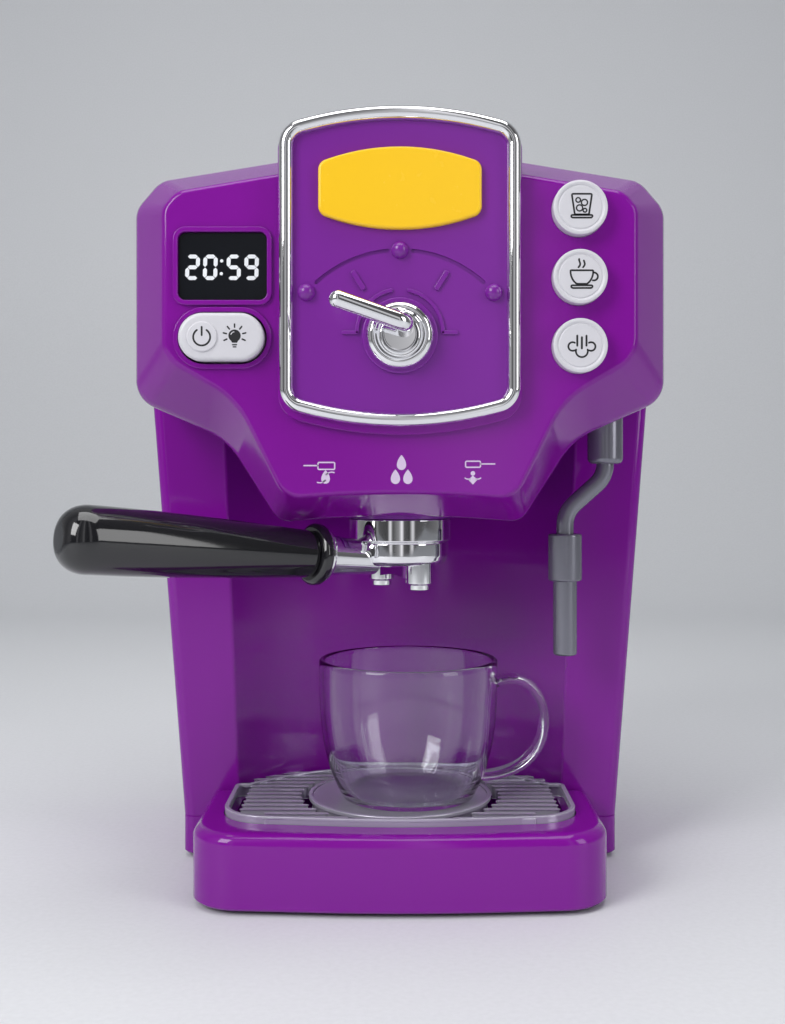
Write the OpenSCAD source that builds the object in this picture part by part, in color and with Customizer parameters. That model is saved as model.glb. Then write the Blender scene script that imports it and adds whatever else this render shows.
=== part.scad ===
// Toy coffee maker: a pretend espresso machine with a dial panel, keys, a filter holder,
// a steam wand, a drip grille and a clear cup.
// Origin: on the table, at the centre of the base. X to the right, Y to the back, Z up.

/* [Base] */
// Height of the underside of the base above the table
foot_gap = 1.6; // [1:0.2:3]
// Half the width of the drip tray housing
tray_half_w = 70.5; // [68:0.5:75]
// Distance from the centre of the base to the front of the tray
tray_front = 75; // [72:0.5:80]
// Height of the lip of the tray
tray_top = 26.7; // [25:0.1:29]
// Height of the plinth under the column
plinth_top = 16; // [14:0.5:18]
// Rounding of the upper edge of the tray
tray_edge = 4; // [2:0.5:5]
// Radius of the rubber feet
foot_r = 7; // [5:0.5:9]

/* [Grille] */
// Thickness of the grille
grille_t = 5; // [4:0.5:6]
// Height of the grille above the tray lip
grille_proud = 2.5; // [1:0.5:3]
// Radius of the round hole for the cup
grille_hole_r = 31.6; // [30.5:0.1:33]
// Width of a grille slot
slot_w = 2.2; // [1.6:0.1:2.8]
// Distance from slot to slot
slot_pitch = 5.2; // [4.8:0.1:6]

/* [Column] */
// Half the width of the column at the plinth
column_foot_half_w = 82; // [80:0.5:84]
// Half the width of the column at the head
column_top_half_w = 94; // [93:0.2:95]
// Half the width of the recess at the plinth
recess_foot_half_w = 60.5; // [58:0.5:62]
// Half the width of the recess at the head
recess_top_half_w = 66.8; // [64:0.5:68]
// Distance of the front of the column from the centre line, to the front
column_front_y = 11; // [9:0.5:13]
// Distance of the back from the centre line, to the back
back_y = 74; // [68:0.5:80]
// Distance of the seam between the column shells from the centre line
column_seam_y = 40; // [36:0.5:44]
// Wall of the moulded shells
wall = 2.4; // [2:0.1:2.8]

/* [Head] */
// Half the width of the head at its rim
head_half_w = 92.6; // [91:0.2:95]
// Half the width of the flat front face
face_half_w = 78; // [76:0.5:80]
// Height of the shoulder of the head above the table
head_shoulder = 247.8; // [244:0.2:252]
// Height of the lower corner of the head's side
head_side_foot = 171.5; // [170:0.5:174]
// Height of the chin, the lowest part of the head
head_chin = 128.3; // [127:0.1:130]
// Distance of the front face from the centre line, to the front
face_y = 71; // [69:0.5:73]
// Distance of the rim of the head from the centre line, to the front
rim_y = 46; // [42:0.5:50]
// Distance of the seam between the head shells from the centre line, to the front
head_seam_y = 20; // [18:0.5:22]
// Step of the rear shell inside the front shell
seam_step = 1.2; // [0.6:0.1:1.6]

/* [Dial] */
// Half the width of the chrome frame
frame_half_w = 39.6; // [38:0.1:40]
// Height of the middle of the frame above the table
frame_z = 213.05; // [212:0.05:214]
// Half the height of the frame at its sides
frame_half_h = 46.15; // [45:0.05:47]
// Width of the frame's moulding
frame_bar = 4.7; // [4:0.1:5.5]
// Height of the knob's axis above the table
knob_z = 190.5; // [189:0.5:192]
// Radius of the knob's disc
knob_r = 11; // [10:0.2:12]
// Diameter of the knob's lever
lever_d = 5.2; // [4.6:0.1:6]
// Radius of the knob's shaft
shaft_r = 3; // [2.5:0.1:3.5]
// Angle that the lever points above the horizontal
lever_rise = 18; // [10:1:25]

/* [Controls] */
// Radius of the round buttons
button_r = 8.9; // [8.4:0.1:9.2]
// Distance of the round buttons from the side of the head
button_set = 33.8; // [33:0.1:35]
// Height of the middle round button
button_z = 209.8; // [208:0.1:211]
// Distance from button to button
button_pitch = 22.5; // [21.5:0.1:23]
// How far the buttons stand out of the face
button_proud = 5; // [4:0.5:6]
// Travel of the buttons
button_travel = 2.2; // [1.5:0.1:2.5]
// Distance of the display and the key from the side of the head
left_set = 34.2; // [33.5:0.1:35]
// Width of the display window
display_w = 29.3; // [28:0.1:30]
// Height of the display window
display_h = 22.4; // [21:0.1:23]
// Height of the middle of the display above the table
display_z = 213.8; // [213:0.1:215]
// Length of the rocker key
key_w = 28; // [26:0.1:29]
// Height of the rocker key
key_h = 15.8; // [14:0.1:16.4]
// Height of the middle of the rocker key above the table
key_z = 190.1; // [189:0.1:191]

/* [Filter holder] */
// Distance of the group's axis from the centre line, to the front
group_y = 27; // [26:0.5:28]
// Radius of the upper ring of the filter holder
ring_r = 18.6; // [18:0.1:19.5]
// How far the ring of the filter holder reaches up into the head
ring_rise = 0.9; // [0.2:0.1:1.3]
// Height of the ring
ring_h = 8; // [7:0.5:9]
// Radius of the basket
basket_r = 17.6; // [17:0.1:18]
// Drop from the top of the ring to the tips of the spouts
spout_drop = 25.2; // [23:0.1:27]
// Distance of each spout from the axis
spout_off = 12; // [11:0.5:12.5]
// Angle of the handle from the left towards the front
handle_turn = 35; // [25:1:45]
// Length of the filter holder from its axis to the handle's end
handle_reach = 128; // [110:1:140]
// Radius of the handle at its thick end
handle_r = 10.95; // [9:0.05:12]

/* [Steam wand] */
// Distance of the wand's socket from the side of the head
wand_set = 18.4; // [17.5:0.1:19.5]
// Distance of the wand from the centre line, to the front
wand_y = 31; // [30:0.5:33]
// Radius of the wand's pipe
pipe_r = 3.15; // [2.8:0.05:3.4]
// Radius of the bend of the pipe
bend_r = 10; // [8:0.5:12]
// Slope of the leaning part of the pipe
pipe_lean = 48; // [40:1:55]
// Height of the wand's tip above the table
wand_tip = 79.8; // [76:0.5:84]

/* [Cup] */
// Distance of the cup from the centre line, to the right
cup_x = 3; // [-4:0.5:4]
// Radius of the cup's rim
cup_r = 32.5; // [31:0.1:33]
// Height of the cup
cup_h = 51.8; // [48:0.2:54]
// Radius of the cup's foot
cup_foot_r = 22.5; // [20:0.5:24]
// Wall of the cup
cup_wall = 1.8; // [1.4:0.1:2.2]
// Depth of the well that the cup stands in, below the grille's top
cup_well = 3; // [2:0.5:3.5]
// Reach of the cup's handle from its axis
cup_reach = 50.7; // [49:0.5:52]

/* [Batteries] */
// Diameter of a battery
battery_d = 14.2; // [14:0.1:14.5]
// Length of a battery
battery_l = 50; // [49:0.1:50.5]

/* [Clearances] */
// Clearance between two shells or fixed pieces
seat_gap = 0.1; // [0.05:0.01:0.2]
// Running clearance of a shaft or guide
run_gap = 0.08; // [0.05:0.01:0.1]
// Clearance round a piece that moves in an opening
open_gap = 0.4; // [0.3:0.05:0.6]

/* [Hidden] */
fine = 64;
eps = 0.01;
ARC = 5;
column_slope_z = [plinth_top, head_side_foot];
button_x = head_half_w - button_set;
left_x = head_half_w - left_set;
wand_x = head_half_w - wand_set;
ring_top = head_chin + ring_rise;
spout_tip = ring_top - spout_drop;
purple = [0.50, 0.05, 0.60];
deep_purple = [0.42, 0.04, 0.52];
chrome = [0.80, 0.80, 0.82];
soft_white = [0.93, 0.93, 0.94];
black = [0.04, 0.04, 0.05];
steel_grey = [0.42, 0.43, 0.46];
board_green = [0.10, 0.35, 0.18];
tray_grey = [0.62, 0.62, 0.66];

// ---- Outlines: lists of corners [x, y, radius], counterclockwise ----

function unit(v) = v / norm(v);
function left_of(v) = [-v.y, v.x];
function flat(p) = [p.x, p.y];
// The right half of a symmetric outline, from its lowest corner to its highest, and its mirror image
function both_sides(half) = concat(half, [for (i = [len(half) - 1:-1:0])
    if (abs(half[i].x) > eps) [-half[i].x, half[i].y, half[i].z]]);
// The arc that rounds corner b between its neighbours a and c
function corner_arc(a, b, c, n) =
    let (u = unit(flat(a) - flat(b)), v = unit(flat(c) - flat(b)), half = acos(u * v) / 2,
        centre = flat(b) + unit(u + v) * b.z / sin(half),
        start = flat(b) + u * b.z / tan(half) - centre,
        stop = flat(b) + v * b.z / tan(half) - centre,
        a0 = atan2(start.y, start.x),
        sweep = (atan2(stop.y, stop.x) - a0 + 540) % 360 - 180)
    [for (i = [0:n]) centre + b.z * [cos(a0 + sweep * i / n), sin(a0 + sweep * i / n)]];
function rounded(corners, n = ARC) = let (m = len(corners))
    [for (i = [0:m - 1]) each corner_arc(corners[(i + m - 1) % m], corners[i], corners[(i + 1) % m], n)];
// The corners of the same outline moved inwards by d, with its arcs kept concentric
function inset_corners(corners, d) = let (m = len(corners))
    [for (i = [0:m - 1])
        let (b = corners[i], e1 = unit(flat(b) - flat(corners[(i + m - 1) % m])),
            e2 = unit(flat(corners[(i + 1) % m]) - flat(b)), n1 = left_of(e1), n2 = left_of(e2),
            moved = flat(b) + (n1 + n2) * d / (1 + n1 * n2),
            turn = e1.x * e2.y - e1.y * e2.x)
        [moved.x, moved.y, max(1, turn > 0 ? b.z - d : b.z + d)]];
function upright(outline, y) = [for (p = outline) [p.x, y, p.y]];
function level(outline, z) = [for (p = outline) [p.x, p.y, z]];

// The sides of a skin over m rings of n points each
function sides(n, m) = [for (k = [0:m - 2], i = [0:n - 1]) let (j = (i + 1) % n)
    each [[k * n + i, k * n + j, (k + 1) * n + i], [k * n + j, (k + 1) * n + j, (k + 1) * n + i]]];
// A skin over rings that all have the same number of points, closed by its first and last ring.
// Seen from outside the first ring, its points run counterclockwise.
module loft(rings) {
    n = len(rings[0]);
    m = len(rings);
    polyhedron(points = [for (r = rings) each r],
        faces = concat([[for (i = [n - 1:-1:0]) i]], sides(n, m), [[for (i = [0:n - 1]) (m - 1) * n + i]]));
}
// The same skin over level rings with a hollow side: each end is closed by a fan from a hub that sees all of the ring
module fan_loft(rings, hub) {
    n = len(rings[0]);
    m = len(rings);
    polyhedron(points = concat([for (r = rings) each r], [for (r = [rings[0], rings[m - 1]]) [hub.x, hub.y, r[0].z]]),
        faces = concat([for (i = [0:n - 1]) [n * m, (i + 1) % n, i]], sides(n, m),
            [for (i = [0:n - 1]) [n * m + 1, (m - 1) * n + i, (m - 1) * n + (i + 1) % n]]));
}
// The same skin over mirrored outlines whose first arc sits at x = 0: each end is closed by level strips
module mirrored_loft(rings) {
    n = len(rings[0]);
    m = len(rings);
    start = (ARC + 1) / 2;
    strips = [for (i = [start:start + n / 2 - 2]) [i, i + 1, (ARC - i - 1 + n) % n, (ARC - i + n) % n]];
    polyhedron(points = [for (r = rings) each r],
        faces = concat([for (s = strips) [s[3], s[2], s[1], s[0]]], sides(n, m),
            [for (s = strips) [for (i = s) (m - 1) * n + i]]));
}
// A closed band: its last ring joins its first
module band(rings) {
    n = len(rings[0]);
    m = len(rings);
    polyhedron(points = [for (r = rings) each r],
        faces = [for (k = [0:m - 1], i = [0:n - 1]) let (j = (i + 1) % n, l = (k + 1) % m)
            each [[k * n + i, l * n + i, k * n + j], [k * n + j, l * n + i, l * n + j]]]);
}
// A plate that stands upright, from y = -front to y = -back
module upright_plate(front, back) {
    translate([0, -back, 0]) rotate([90, 0, 0]) linear_extrude(front - back) children();
}
// A cylinder along Y, from y = -front to y = -back
module rod_y(x, z, r, front, back) {
    translate([x, -back, z]) rotate([90, 0, 0]) cylinder(h = front - back, r = r, $fn = fine);
}
// A slot with round ends, w long and h high, centred
module stadium(w, h) {
    square([w - h, h], center = true);
    for (s = [-1, 1]) translate([s * (w - h) / 2, 0]) circle(d = h, $fn = fine);
}
module rounded_box(w, h, r) {
    polygon(rounded([[w / 2, -h / 2, r], [w / 2, h / 2, r], [-w / 2, h / 2, r], [-w / 2, -h / 2, r]]));
}

// ---- Outline of the column, in plan ----

function at_height(z, foot, top) =
    foot + (top - foot) * (z - column_slope_z[0]) / (column_slope_z[1] - column_slope_z[0]);
function column_half_w(z) = at_height(z, column_foot_half_w, column_top_half_w);
function recess_half_w(z) = at_height(z, recess_foot_half_w, recess_top_half_w);
recess_angle = 44;
recess_lip_y = column_front_y - 2.5;
function recess_apex(z) = recess_half_w(z) * tan(recess_angle) - recess_lip_y;
// The largest arc between the two edges of the recess, less the room that their own rounding takes
function recess_r(z) = 0.94 * pow(recess_half_w(z), 2) / (recess_apex(z) + column_front_y)
    * sqrt(1 + pow((recess_apex(z) + column_front_y) / recess_half_w(z), 2));
edge_r = 4.5;
back_corner_r = 16;
function column_corners(z) = both_sides([
    [0, recess_apex(z), recess_r(z)],
    [recess_half_w(z), -column_front_y, 2],
    [column_half_w(z), -column_front_y, edge_r],
    [column_half_w(z), back_y, back_corner_r]]);
function column_ring(z, d) = level(rounded(inset_corners(column_corners(z), d), 8), z);
column_hub = [0, back_y - 10];
module column_solid(z0, z1, d) {
    fan_loft([column_ring(z1, d), column_ring(z0, d)], column_hub);
}

// ---- Outline of the head, seen from the front ----

function head_corners() = both_sides([
    [0, head_chin + 3.5, 380],
    [42.5, head_chin, 7],
    [60.6, 157, 26],
    [head_half_w, head_side_foot, 10],
    [head_half_w, head_shoulder - 10, 9],
    [head_half_w - 8.6, head_shoulder, 9],
    [0, head_shoulder + 13.6, 272]]);
function face_corners() = both_sides([
    [0, head_chin + 12, 380],
    [38, head_chin + 9, 9],
    [54, 170, 30],
    [face_half_w, 184, 12],
    [face_half_w, head_shoulder - 15, 6],
    [face_half_w - 4.5, head_shoulder - 9.5, 8],
    [0, head_shoulder + 3, 272]]);
face_ring = rounded(face_corners());
rim_ring = rounded(head_corners());
function between(a, b, t) = [for (i = [0:len(a) - 1]) a[i] + (b[i] - a[i]) * t];
face_edge = 1.2;
module head_envelope(d, front, back) {
    upright_plate(front, back) polygon(rounded(inset_corners(head_corners(), d)));
}

// ---- Base ----

tray_rim = 9;
grille_back_rim = 2.5;
tray_bow = 0.8;
tray_corner_set = 4;
recess_side_gap = open_gap + 1;
function tray_corners(z) = both_sides([
    [0, -tray_front - tray_bow, 420],
    [tray_half_w, tray_corner_set - tray_front, 17],
    [tray_half_w, -column_front_y - open_gap, 2],
    [recess_half_w(z) - recess_side_gap, -column_front_y - open_gap, 0.8],
    [0, recess_apex(z) - recess_side_gap, recess_r(z) - 3]]);
function grille_corners(z) = both_sides([
    [0, tray_rim - tray_front + 2, 200],
    [tray_half_w - tray_rim, tray_rim - tray_front + 9, 16],
    [tray_half_w - tray_rim, -column_front_y - open_gap - grille_back_rim, 3],
    [recess_half_w(z) - recess_side_gap - grille_back_rim, -column_front_y - open_gap - grille_back_rim, 0.8],
    [0, recess_apex(z) - recess_side_gap - grille_back_rim * 1.4, recess_r(z) - 8]]);
plate_t = 2.4;
cavity_top = plinth_top - wall;
grille_top = tray_top + grille_proud;
grille_floor = grille_top - grille_t;
platform_z = grille_top - cup_well;
foot_x = 59.5;
foot_front_y = 60;
foot_back_y = 62;
foot_sink = 1;
screw_r = 1.4;
screw_head_r = 2.8;
base_screw_x = 40;

module plinth_outline(d) {
    polygon(rounded(inset_corners(both_sides([
        [column_foot_half_w, -column_front_y, edge_r],
        [column_foot_half_w, back_y, back_corner_r]]), d)));
}
module tray_outline(d) {
    polygon(rounded(inset_corners(tray_corners(plinth_top), d)));
}
module grille_outline(d) {
    polygon(rounded(inset_corners(grille_corners(plinth_top), d), 6));
}
module tray_solid() {
    function ring(h, d) = level(rounded(inset_corners(tray_corners(plinth_top), d), 7), h);
    loft([ring(tray_top, tray_edge),
        for (a = [60:-30:0]) ring(tray_top - tray_edge + tray_edge * sin(a), tray_edge * (1 - cos(a))),
        ring(foot_gap, 0)]);
}
module base_screw_places() {
    for (x = [-base_screw_x, base_screw_x], y = [-foot_front_y, foot_back_y]) translate([x, y, 0]) children();
}
module base_housing() {
    color(purple) {
        difference() {
            union() {
                tray_solid();
                translate([0, 0, foot_gap]) linear_extrude(plinth_top - foot_gap) plinth_outline(0);
            }
            translate([0, 0, foot_gap - 1]) linear_extrude(cavity_top - foot_gap + 1) {
                tray_outline(wall);
                plinth_outline(wall);
            }
            translate([0, 0, grille_floor]) linear_extrude(grille_t + 9) grille_outline(-open_gap);
            difference() {
                translate([0, 0, plinth_top]) linear_extrude(grille_floor - plinth_top + 1) grille_outline(3);
                translate([0, -group_y, 0]) cylinder(h = 60, r = grille_hole_r - open_gap, $fn = fine);
            }
        }
        translate([0, -group_y, plinth_top - 1])
            cylinder(h = platform_z - plinth_top + 1, r = grille_hole_r - open_gap, $fn = fine);
        base_screw_places() translate([0, 0, foot_gap + plate_t + seat_gap]) difference() {
            cylinder(h = cavity_top - foot_gap - plate_t - seat_gap + 1, r = 4, $fn = fine);
            translate([0, 0, -1]) cylinder(h = 10, r = screw_r + seat_gap, $fn = fine);
        }
    }
}
module foot_places() {
    for (x = [-foot_x, foot_x], y = [-foot_front_y + 4, foot_back_y - 6]) translate([x, y, 0]) children();
    children();
}
module base_plate() {
    color(deep_purple) difference() {
        translate([0, 0, foot_gap]) linear_extrude(plate_t) {
            tray_outline(wall + seat_gap);
            plinth_outline(wall + seat_gap);
        }
        foot_places() translate([0, 0, foot_gap - 1]) cylinder(h = 1 + foot_sink, r = foot_r + seat_gap, $fn = fine);
        base_screw_places() cylinder(h = 9, r = screw_r + seat_gap, $fn = fine);
        base_screw_places() cylinder(h = foot_gap + 1.2, r = screw_head_r + seat_gap, $fn = fine);
    }
}
module rubber_feet() {
    color(black) foot_places() cylinder(h = foot_gap + foot_sink, r = foot_r, $fn = fine);
}
module base_screws() {
    color(chrome) base_screw_places() {
        translate([0, 0, foot_gap + 0.2]) cylinder(h = 1, r = screw_head_r, $fn = fine);
        translate([0, 0, foot_gap + 0.2]) cylinder(h = 9, r = screw_r, $fn = fine);
    }
}
slot_rows = 6;
slot_ring = grille_hole_r + 4.4;
slot_outer = tray_half_w - tray_rim - 6;
module drip_grille() {
    rim_w = 1.6;
    rim_h = 0.6;
    color(tray_grey) difference() {
        union() {
            translate([0, 0, grille_floor]) linear_extrude(grille_t - rim_h) grille_outline(0);
            translate([0, 0, grille_floor]) linear_extrude(grille_t) difference() {
                grille_outline(0);
                grille_outline(rim_w);
            }
            translate([0, -group_y, grille_floor]) cylinder(h = grille_t, r = grille_hole_r + rim_w, $fn = fine);
        }
        translate([0, -group_y, 0]) cylinder(h = 60, r = grille_hole_r, $fn = fine);
        for (k = [-slot_rows:slot_rows], s = [-1, 1]) let (
            dy = k * slot_pitch,
            outer = slot_outer - (k < 2 - slot_rows ? 9 : 0),
            inner = sqrt(max(pow(slot_ring, 2) - dy * dy, 36)))
            if (outer - inner > 2 * slot_w)
                translate([s * (inner + outer) / 2, dy - group_y, 0]) linear_extrude(60)
                    stadium(outer - inner, slot_w);
    }
}

// ---- Column ----

column_top = head_side_foot;
battery_pitch = 15;
battery_count = 3;
battery_foot_z = 60.5;
contact_gap = 3;
pocket_half_w = battery_count * battery_pitch / 2 + 0.5;
pocket_z0 = battery_foot_z - contact_gap;
pocket_z1 = battery_foot_z + battery_l + contact_gap;
door_t = 2.2;
door_lap = 3;
battery_y = back_y - door_t - 0.4 - battery_d / 2;
pocket_y = battery_y - battery_d / 2 - 0.3;
head_clear = seat_gap + 0.1;
column_shelf_z = head_side_foot - 11.5;
module column_skin() {
    fan_loft([column_ring(plinth_top + wall, wall), column_ring(column_top, wall),
        column_ring(column_top, 0), column_ring(plinth_top, 0)], column_hub);
}
module head_room() {
    intersection() {
        head_envelope(seam_step - head_clear, head_seam_y, -back_y - 1);
        above_shelf(0);
    }
}
// Above this height the column makes room for the head; below it the head makes room for the column
module above_shelf(gap) {
    translate([-150, -150, column_shelf_z + gap]) cube([300, 300, 300]);
}
module behind_seam(gap) {
    translate([-150, column_seam_y + gap, 0]) cube([300, 100, 300]);
}
module column_front() {
    color(purple) difference() {
        column_skin();
        head_room();
        behind_seam(0);
    }
}
module battery_door_outline(gap) {
    translate([0, (pocket_z0 + pocket_z1) / 2])
        rounded_box(2 * (pocket_half_w + door_lap - gap), pocket_z1 - pocket_z0 + 2 * (door_lap - gap), 3);
}
rear_screw_z = 36;
rear_screw_x = 52;
head_screw_z = 222;
module rear_screw_places() {
    for (x = [-rear_screw_x, rear_screw_x], z = [rear_screw_z, head_screw_z]) translate([x, back_y, z]) rotate([90, 0, 0]) children();
}
module screw_boss() {
    translate([0, 0, wall / 2]) cylinder(h = 12, r = 4, $fn = fine);
}
module screw_bore() {
    translate([0, 0, -1]) cylinder(h = 20, r = screw_r + seat_gap, $fn = fine);
    translate([0, 0, -1]) cylinder(h = 2.4, r = screw_head_r + seat_gap, $fn = fine);
}
module column_rear() {
    color(purple) difference() {
        union() {
            intersection() {
                difference() {
                    column_skin();
                    head_room();
                }
                behind_seam(seat_gap);
            }
            translate([-pocket_half_w - wall, pocket_y - wall, pocket_z0 - wall])
                cube([2 * (pocket_half_w + wall), back_y - pocket_y, pocket_z1 - pocket_z0 + 2 * wall]);
            for (x = [-1, 1]) translate([x * rear_screw_x, back_y, rear_screw_z]) rotate([90, 0, 0]) screw_boss();
        }
        translate([-pocket_half_w, pocket_y, pocket_z0])
            cube([2 * pocket_half_w, back_y - pocket_y + 1, pocket_z1 - pocket_z0]);
        upright_plate(-back_y + door_t, -back_y - 1) battery_door_outline(0);
        rear_screw_places() screw_bore();
    }
}
module rear_screws() {
    color(chrome) rear_screw_places() {
        translate([0, 0, 0.2]) cylinder(h = 1.1, r = screw_head_r, $fn = fine);
        translate([0, 0, 0.2]) cylinder(h = 11, r = screw_r, $fn = fine);
    }
}
module battery_door() {
    color(purple) difference() {
        upright_plate(-back_y + door_t - seat_gap, -back_y) battery_door_outline(seat_gap);
        for (k = [-2:2]) translate([0, back_y, pocket_z1 - 6 - 2.4 * (k + 2)]) rotate([0, 90, 0])
            translate([0, 0, -8]) cylinder(h = 16, r = 0.6, $fn = fine);
    }
}
function battery_x(k) = (k - (battery_count - 1) / 2) * battery_pitch;
module batteries() {
    color(black) for (k = [0:battery_count - 1]) translate([battery_x(k), battery_y, battery_foot_z]) {
        cylinder(h = battery_l - 1, r = battery_d / 2, $fn = fine);
        cylinder(h = battery_l, r = 2.7, $fn = fine);
    }
}
module battery_contacts() {
    contact_t = 0.5;
    contact_h = battery_d - 4;
    color(chrome) for (k = [0:battery_count - 1], end = [0, 1]) {
        z = end == 0 ? pocket_z0 + seat_gap : pocket_z1 - seat_gap - contact_t;
        nub = contact_gap - contact_t - 2 * seat_gap;
        translate([battery_x(k) - 6, battery_y - contact_h / 2, z]) cube([12, contact_h, contact_t]);
        translate([battery_x(k), battery_y, end == 0 ? z : z - nub])
            cylinder(h = nub + contact_t, r = 2.5, $fn = fine);
    }
}

// ---- Head ----

function frame_corners() = both_sides([
    [0, frame_z - frame_half_h - 10.4, 121],
    [frame_half_w, frame_z - frame_half_h, 9],
    [frame_half_w, frame_z + frame_half_h, 9],
    [0, frame_z + frame_half_h + 10.4, 121]]);
module frame_outline(d) {
    polygon(rounded(inset_corners(frame_corners(), d), 7));
}
frame_proud = 7;
boss_proud = 2.3;
boss_rim = 2.3;
panel_proud = 4;
rim_proud = 1.2;
key_gap = 0.6;
rim_w = 1.7;
pin_r = 1.2;
pin_reach = 4;
pin_y = face_y - wall - 2.4;
guide_l = 7;
window_t = 1.6;
window_lap = 1.5;
flange_t = 1.4;
flange_r = button_r + 1.3;
guide_r = button_r + run_gap + 0.7;
stem_l = 2.4;
dome_l = 1.4;
press_gap = 0.3;
button_back = face_y - guide_l;
board_t = 1.6;
control_board_y = button_back - flange_t - stem_l - button_travel - press_gap - dome_l;
display_board_y = face_y - 11;
collar_r = 20;
collar_flange_r = 22.5;
spigot_r = 15.5;
socket_r = 6.35;
socket_foot = 148.9;
socket_top = 171;
peg_r = 1.8;

module display_outline(d) {
    translate([-left_x, display_z]) rounded_box(display_w - 2 * d, display_h - 2 * d, 2.5 - min(d, 1.5));
}
module key_outline(d) {
    translate([-left_x, key_z]) stadium(key_w - 2 * d, key_h - 2 * d);
}
module button_places() {
    for (k = [-1:1]) translate([button_x, 0, button_z + k * button_pitch]) children();
}
module control_pegs(front, back, r) {
    for (x = [-9, 9], s = [-0.5, 0.5]) rod_y(button_x + x, button_z + s * button_pitch, r, front, back);
}
module display_pegs(front, back, r) {
    for (x = [-13, 13], z = [key_z - 10.6, display_z + 13.4]) rod_y(-left_x + x, z, r, front, back);
}
module head_front_skin() {
    inner_rim = rounded(inset_corners(head_corners(), wall));
    mirrored_loft([upright(rounded(inset_corners(face_corners(), face_edge)), -face_y),
        upright(between(face_ring, rim_ring, 0.01), 0.35 - face_y),
        for (t = [0.06, 0.9]) upright(between(face_ring, rim_ring, t), t * (face_y - rim_y) - face_y),
        upright(between(face_ring, rim_ring, 0.975), -rim_y - 0.4),
        upright(rim_ring, 2 - rim_y),
        upright(rim_ring, -head_seam_y),
        upright(inner_rim, -head_seam_y),
        upright(inner_rim, wall / 2 - rim_y),
        upright(rounded(inset_corners(face_corners(), wall)), wall - face_y)]);
}
// The crown carries the dial; behind the frame's arch it slopes down to the top of the head
crown_back_y = face_y - 24;
crown_drop = 13;
function crown_corners(drop) = both_sides([
    [0, frame_z - frame_half_h - 10.4 - boss_rim, 121],
    [frame_half_w + 0.4, frame_z - frame_half_h - boss_rim, 9],
    [frame_half_w + 0.4, frame_z + frame_half_h - 0.3 - drop, 9],
    [0, frame_z + frame_half_h + 10 - drop, 121]]);
module crown() {
    sunk = wall / 2;
    inner_rim = rounded(inset_corners(head_corners(), sunk));
    difference() {
        loft([upright(rounded(crown_corners(0), 7), -face_y - boss_proud),
            upright(rounded(crown_corners(crown_drop), 7), -crown_back_y)]);
        mirrored_loft([upright(rounded(inset_corners(face_corners(), sunk)), sunk - face_y),
            upright(inner_rim, sunk / 2 - rim_y),
            upright(inner_rim, -head_seam_y)]);
    }
}
module head_front() {
    color(purple) difference() {
        union() {
            head_front_skin();
            crown();
            upright_plate(face_y + rim_proud, face_y - 1) difference() {
                display_outline(-rim_w);
                display_outline(0);
            }
            upright_plate(face_y + rim_proud, face_y - 1) difference() {
                key_outline(-key_gap - rim_w);
                key_outline(-key_gap);
            }
            button_places() rod_y(0, 0, guide_r, face_y - wall + 0.1, button_back + seat_gap);
            control_pegs(face_y - 1, control_board_y + seat_gap, peg_r);
            display_pegs(face_y - 1, display_board_y + seat_gap, peg_r);
            for (s = [-1, 1]) translate([-left_x - 2.6, -face_y + 1, key_z + s * (key_h / 2 + pin_reach - 1.4) - 1.2])
                cube([5.2, face_y - pin_y + 1.4, 2.4]);
        }
        upright_plate(face_y + 9, face_y - window_t - 0.3) display_outline(0);
        upright_plate(face_y + 9, face_y - 9) display_outline(window_lap);
        upright_plate(face_y + 9, face_y - 9) key_outline(-key_gap);
        button_places() rod_y(0, 0, button_r + run_gap, face_y + 9, button_back - 9);
        button_places() rod_y(0, 0, flange_r + run_gap, button_back + seat_gap / 2, button_back - flange_t - button_travel - 0.5);
        rod_y(0, knob_z, shaft_r + run_gap, face_y + 9, face_y - 9);
        translate([-left_x, -pin_y, key_z]) cylinder(h = key_h + 2 * pin_reach + 2, r = pin_r + run_gap, center = true, $fn = fine);
        translate([0, -group_y, head_chin - 9]) cylinder(h = 20, r = collar_r + seat_gap, $fn = fine);
        translate([wand_x, -wand_y, socket_foot]) cylinder(h = socket_top - socket_foot, r = socket_r + seat_gap, $fn = fine);
    }
}
rear_edge = 6;
speaker_x = 42;
speaker_z = 206;
speaker_r = 14;
main_board_y = back_y - 12;
module head_rear_shell() {
    function ring(e, y) = upright(rounded(inset_corners(head_corners(), seam_step + e)), y);
    function bowl(d, back) = [for (a = [0:30:90])
        ring(d + rear_edge * (1 - cos(a)), back - rear_edge + rear_edge * sin(a))];
    inner = bowl(wall, back_y - wall);
    mirrored_loft(concat([for (k = [len(inner) - 1:-1:0]) inner[k]],
        [ring(wall, seat_gap - head_seam_y), ring(0, seat_gap - head_seam_y)], bowl(0, back_y)));
}
module head_rear() {
    color(purple) difference() {
        union() {
            head_rear_shell();
            for (x = [-1, 1]) translate([x * rear_screw_x, back_y, head_screw_z]) rotate([90, 0, 0]) screw_boss();
            for (x = [-30, 10], z = [168, 208]) rod_y(x, z, peg_r + 1, -main_board_y - board_t - seat_gap, -back_y + 1);
        }
        difference() {
            column_solid(head_chin - 20, column_top, -head_clear);
            above_shelf(seat_gap);
        }
        rear_screw_places() screw_bore();
        translate([0, -group_y, head_chin - 9]) cylinder(h = 20, r = collar_r + seat_gap, $fn = fine);
        rod_y(speaker_x, speaker_z, 1.1, -back_y + 9, -back_y - 9);
        for (ring = [1, 2], k = [0:6 * ring - 1]) let (a = k * 60 / ring, r = 4.6 * ring)
            rod_y(speaker_x + r * cos(a), speaker_z + r * sin(a), 1.1, -back_y + 9, -back_y - 9);
    }
}
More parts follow.
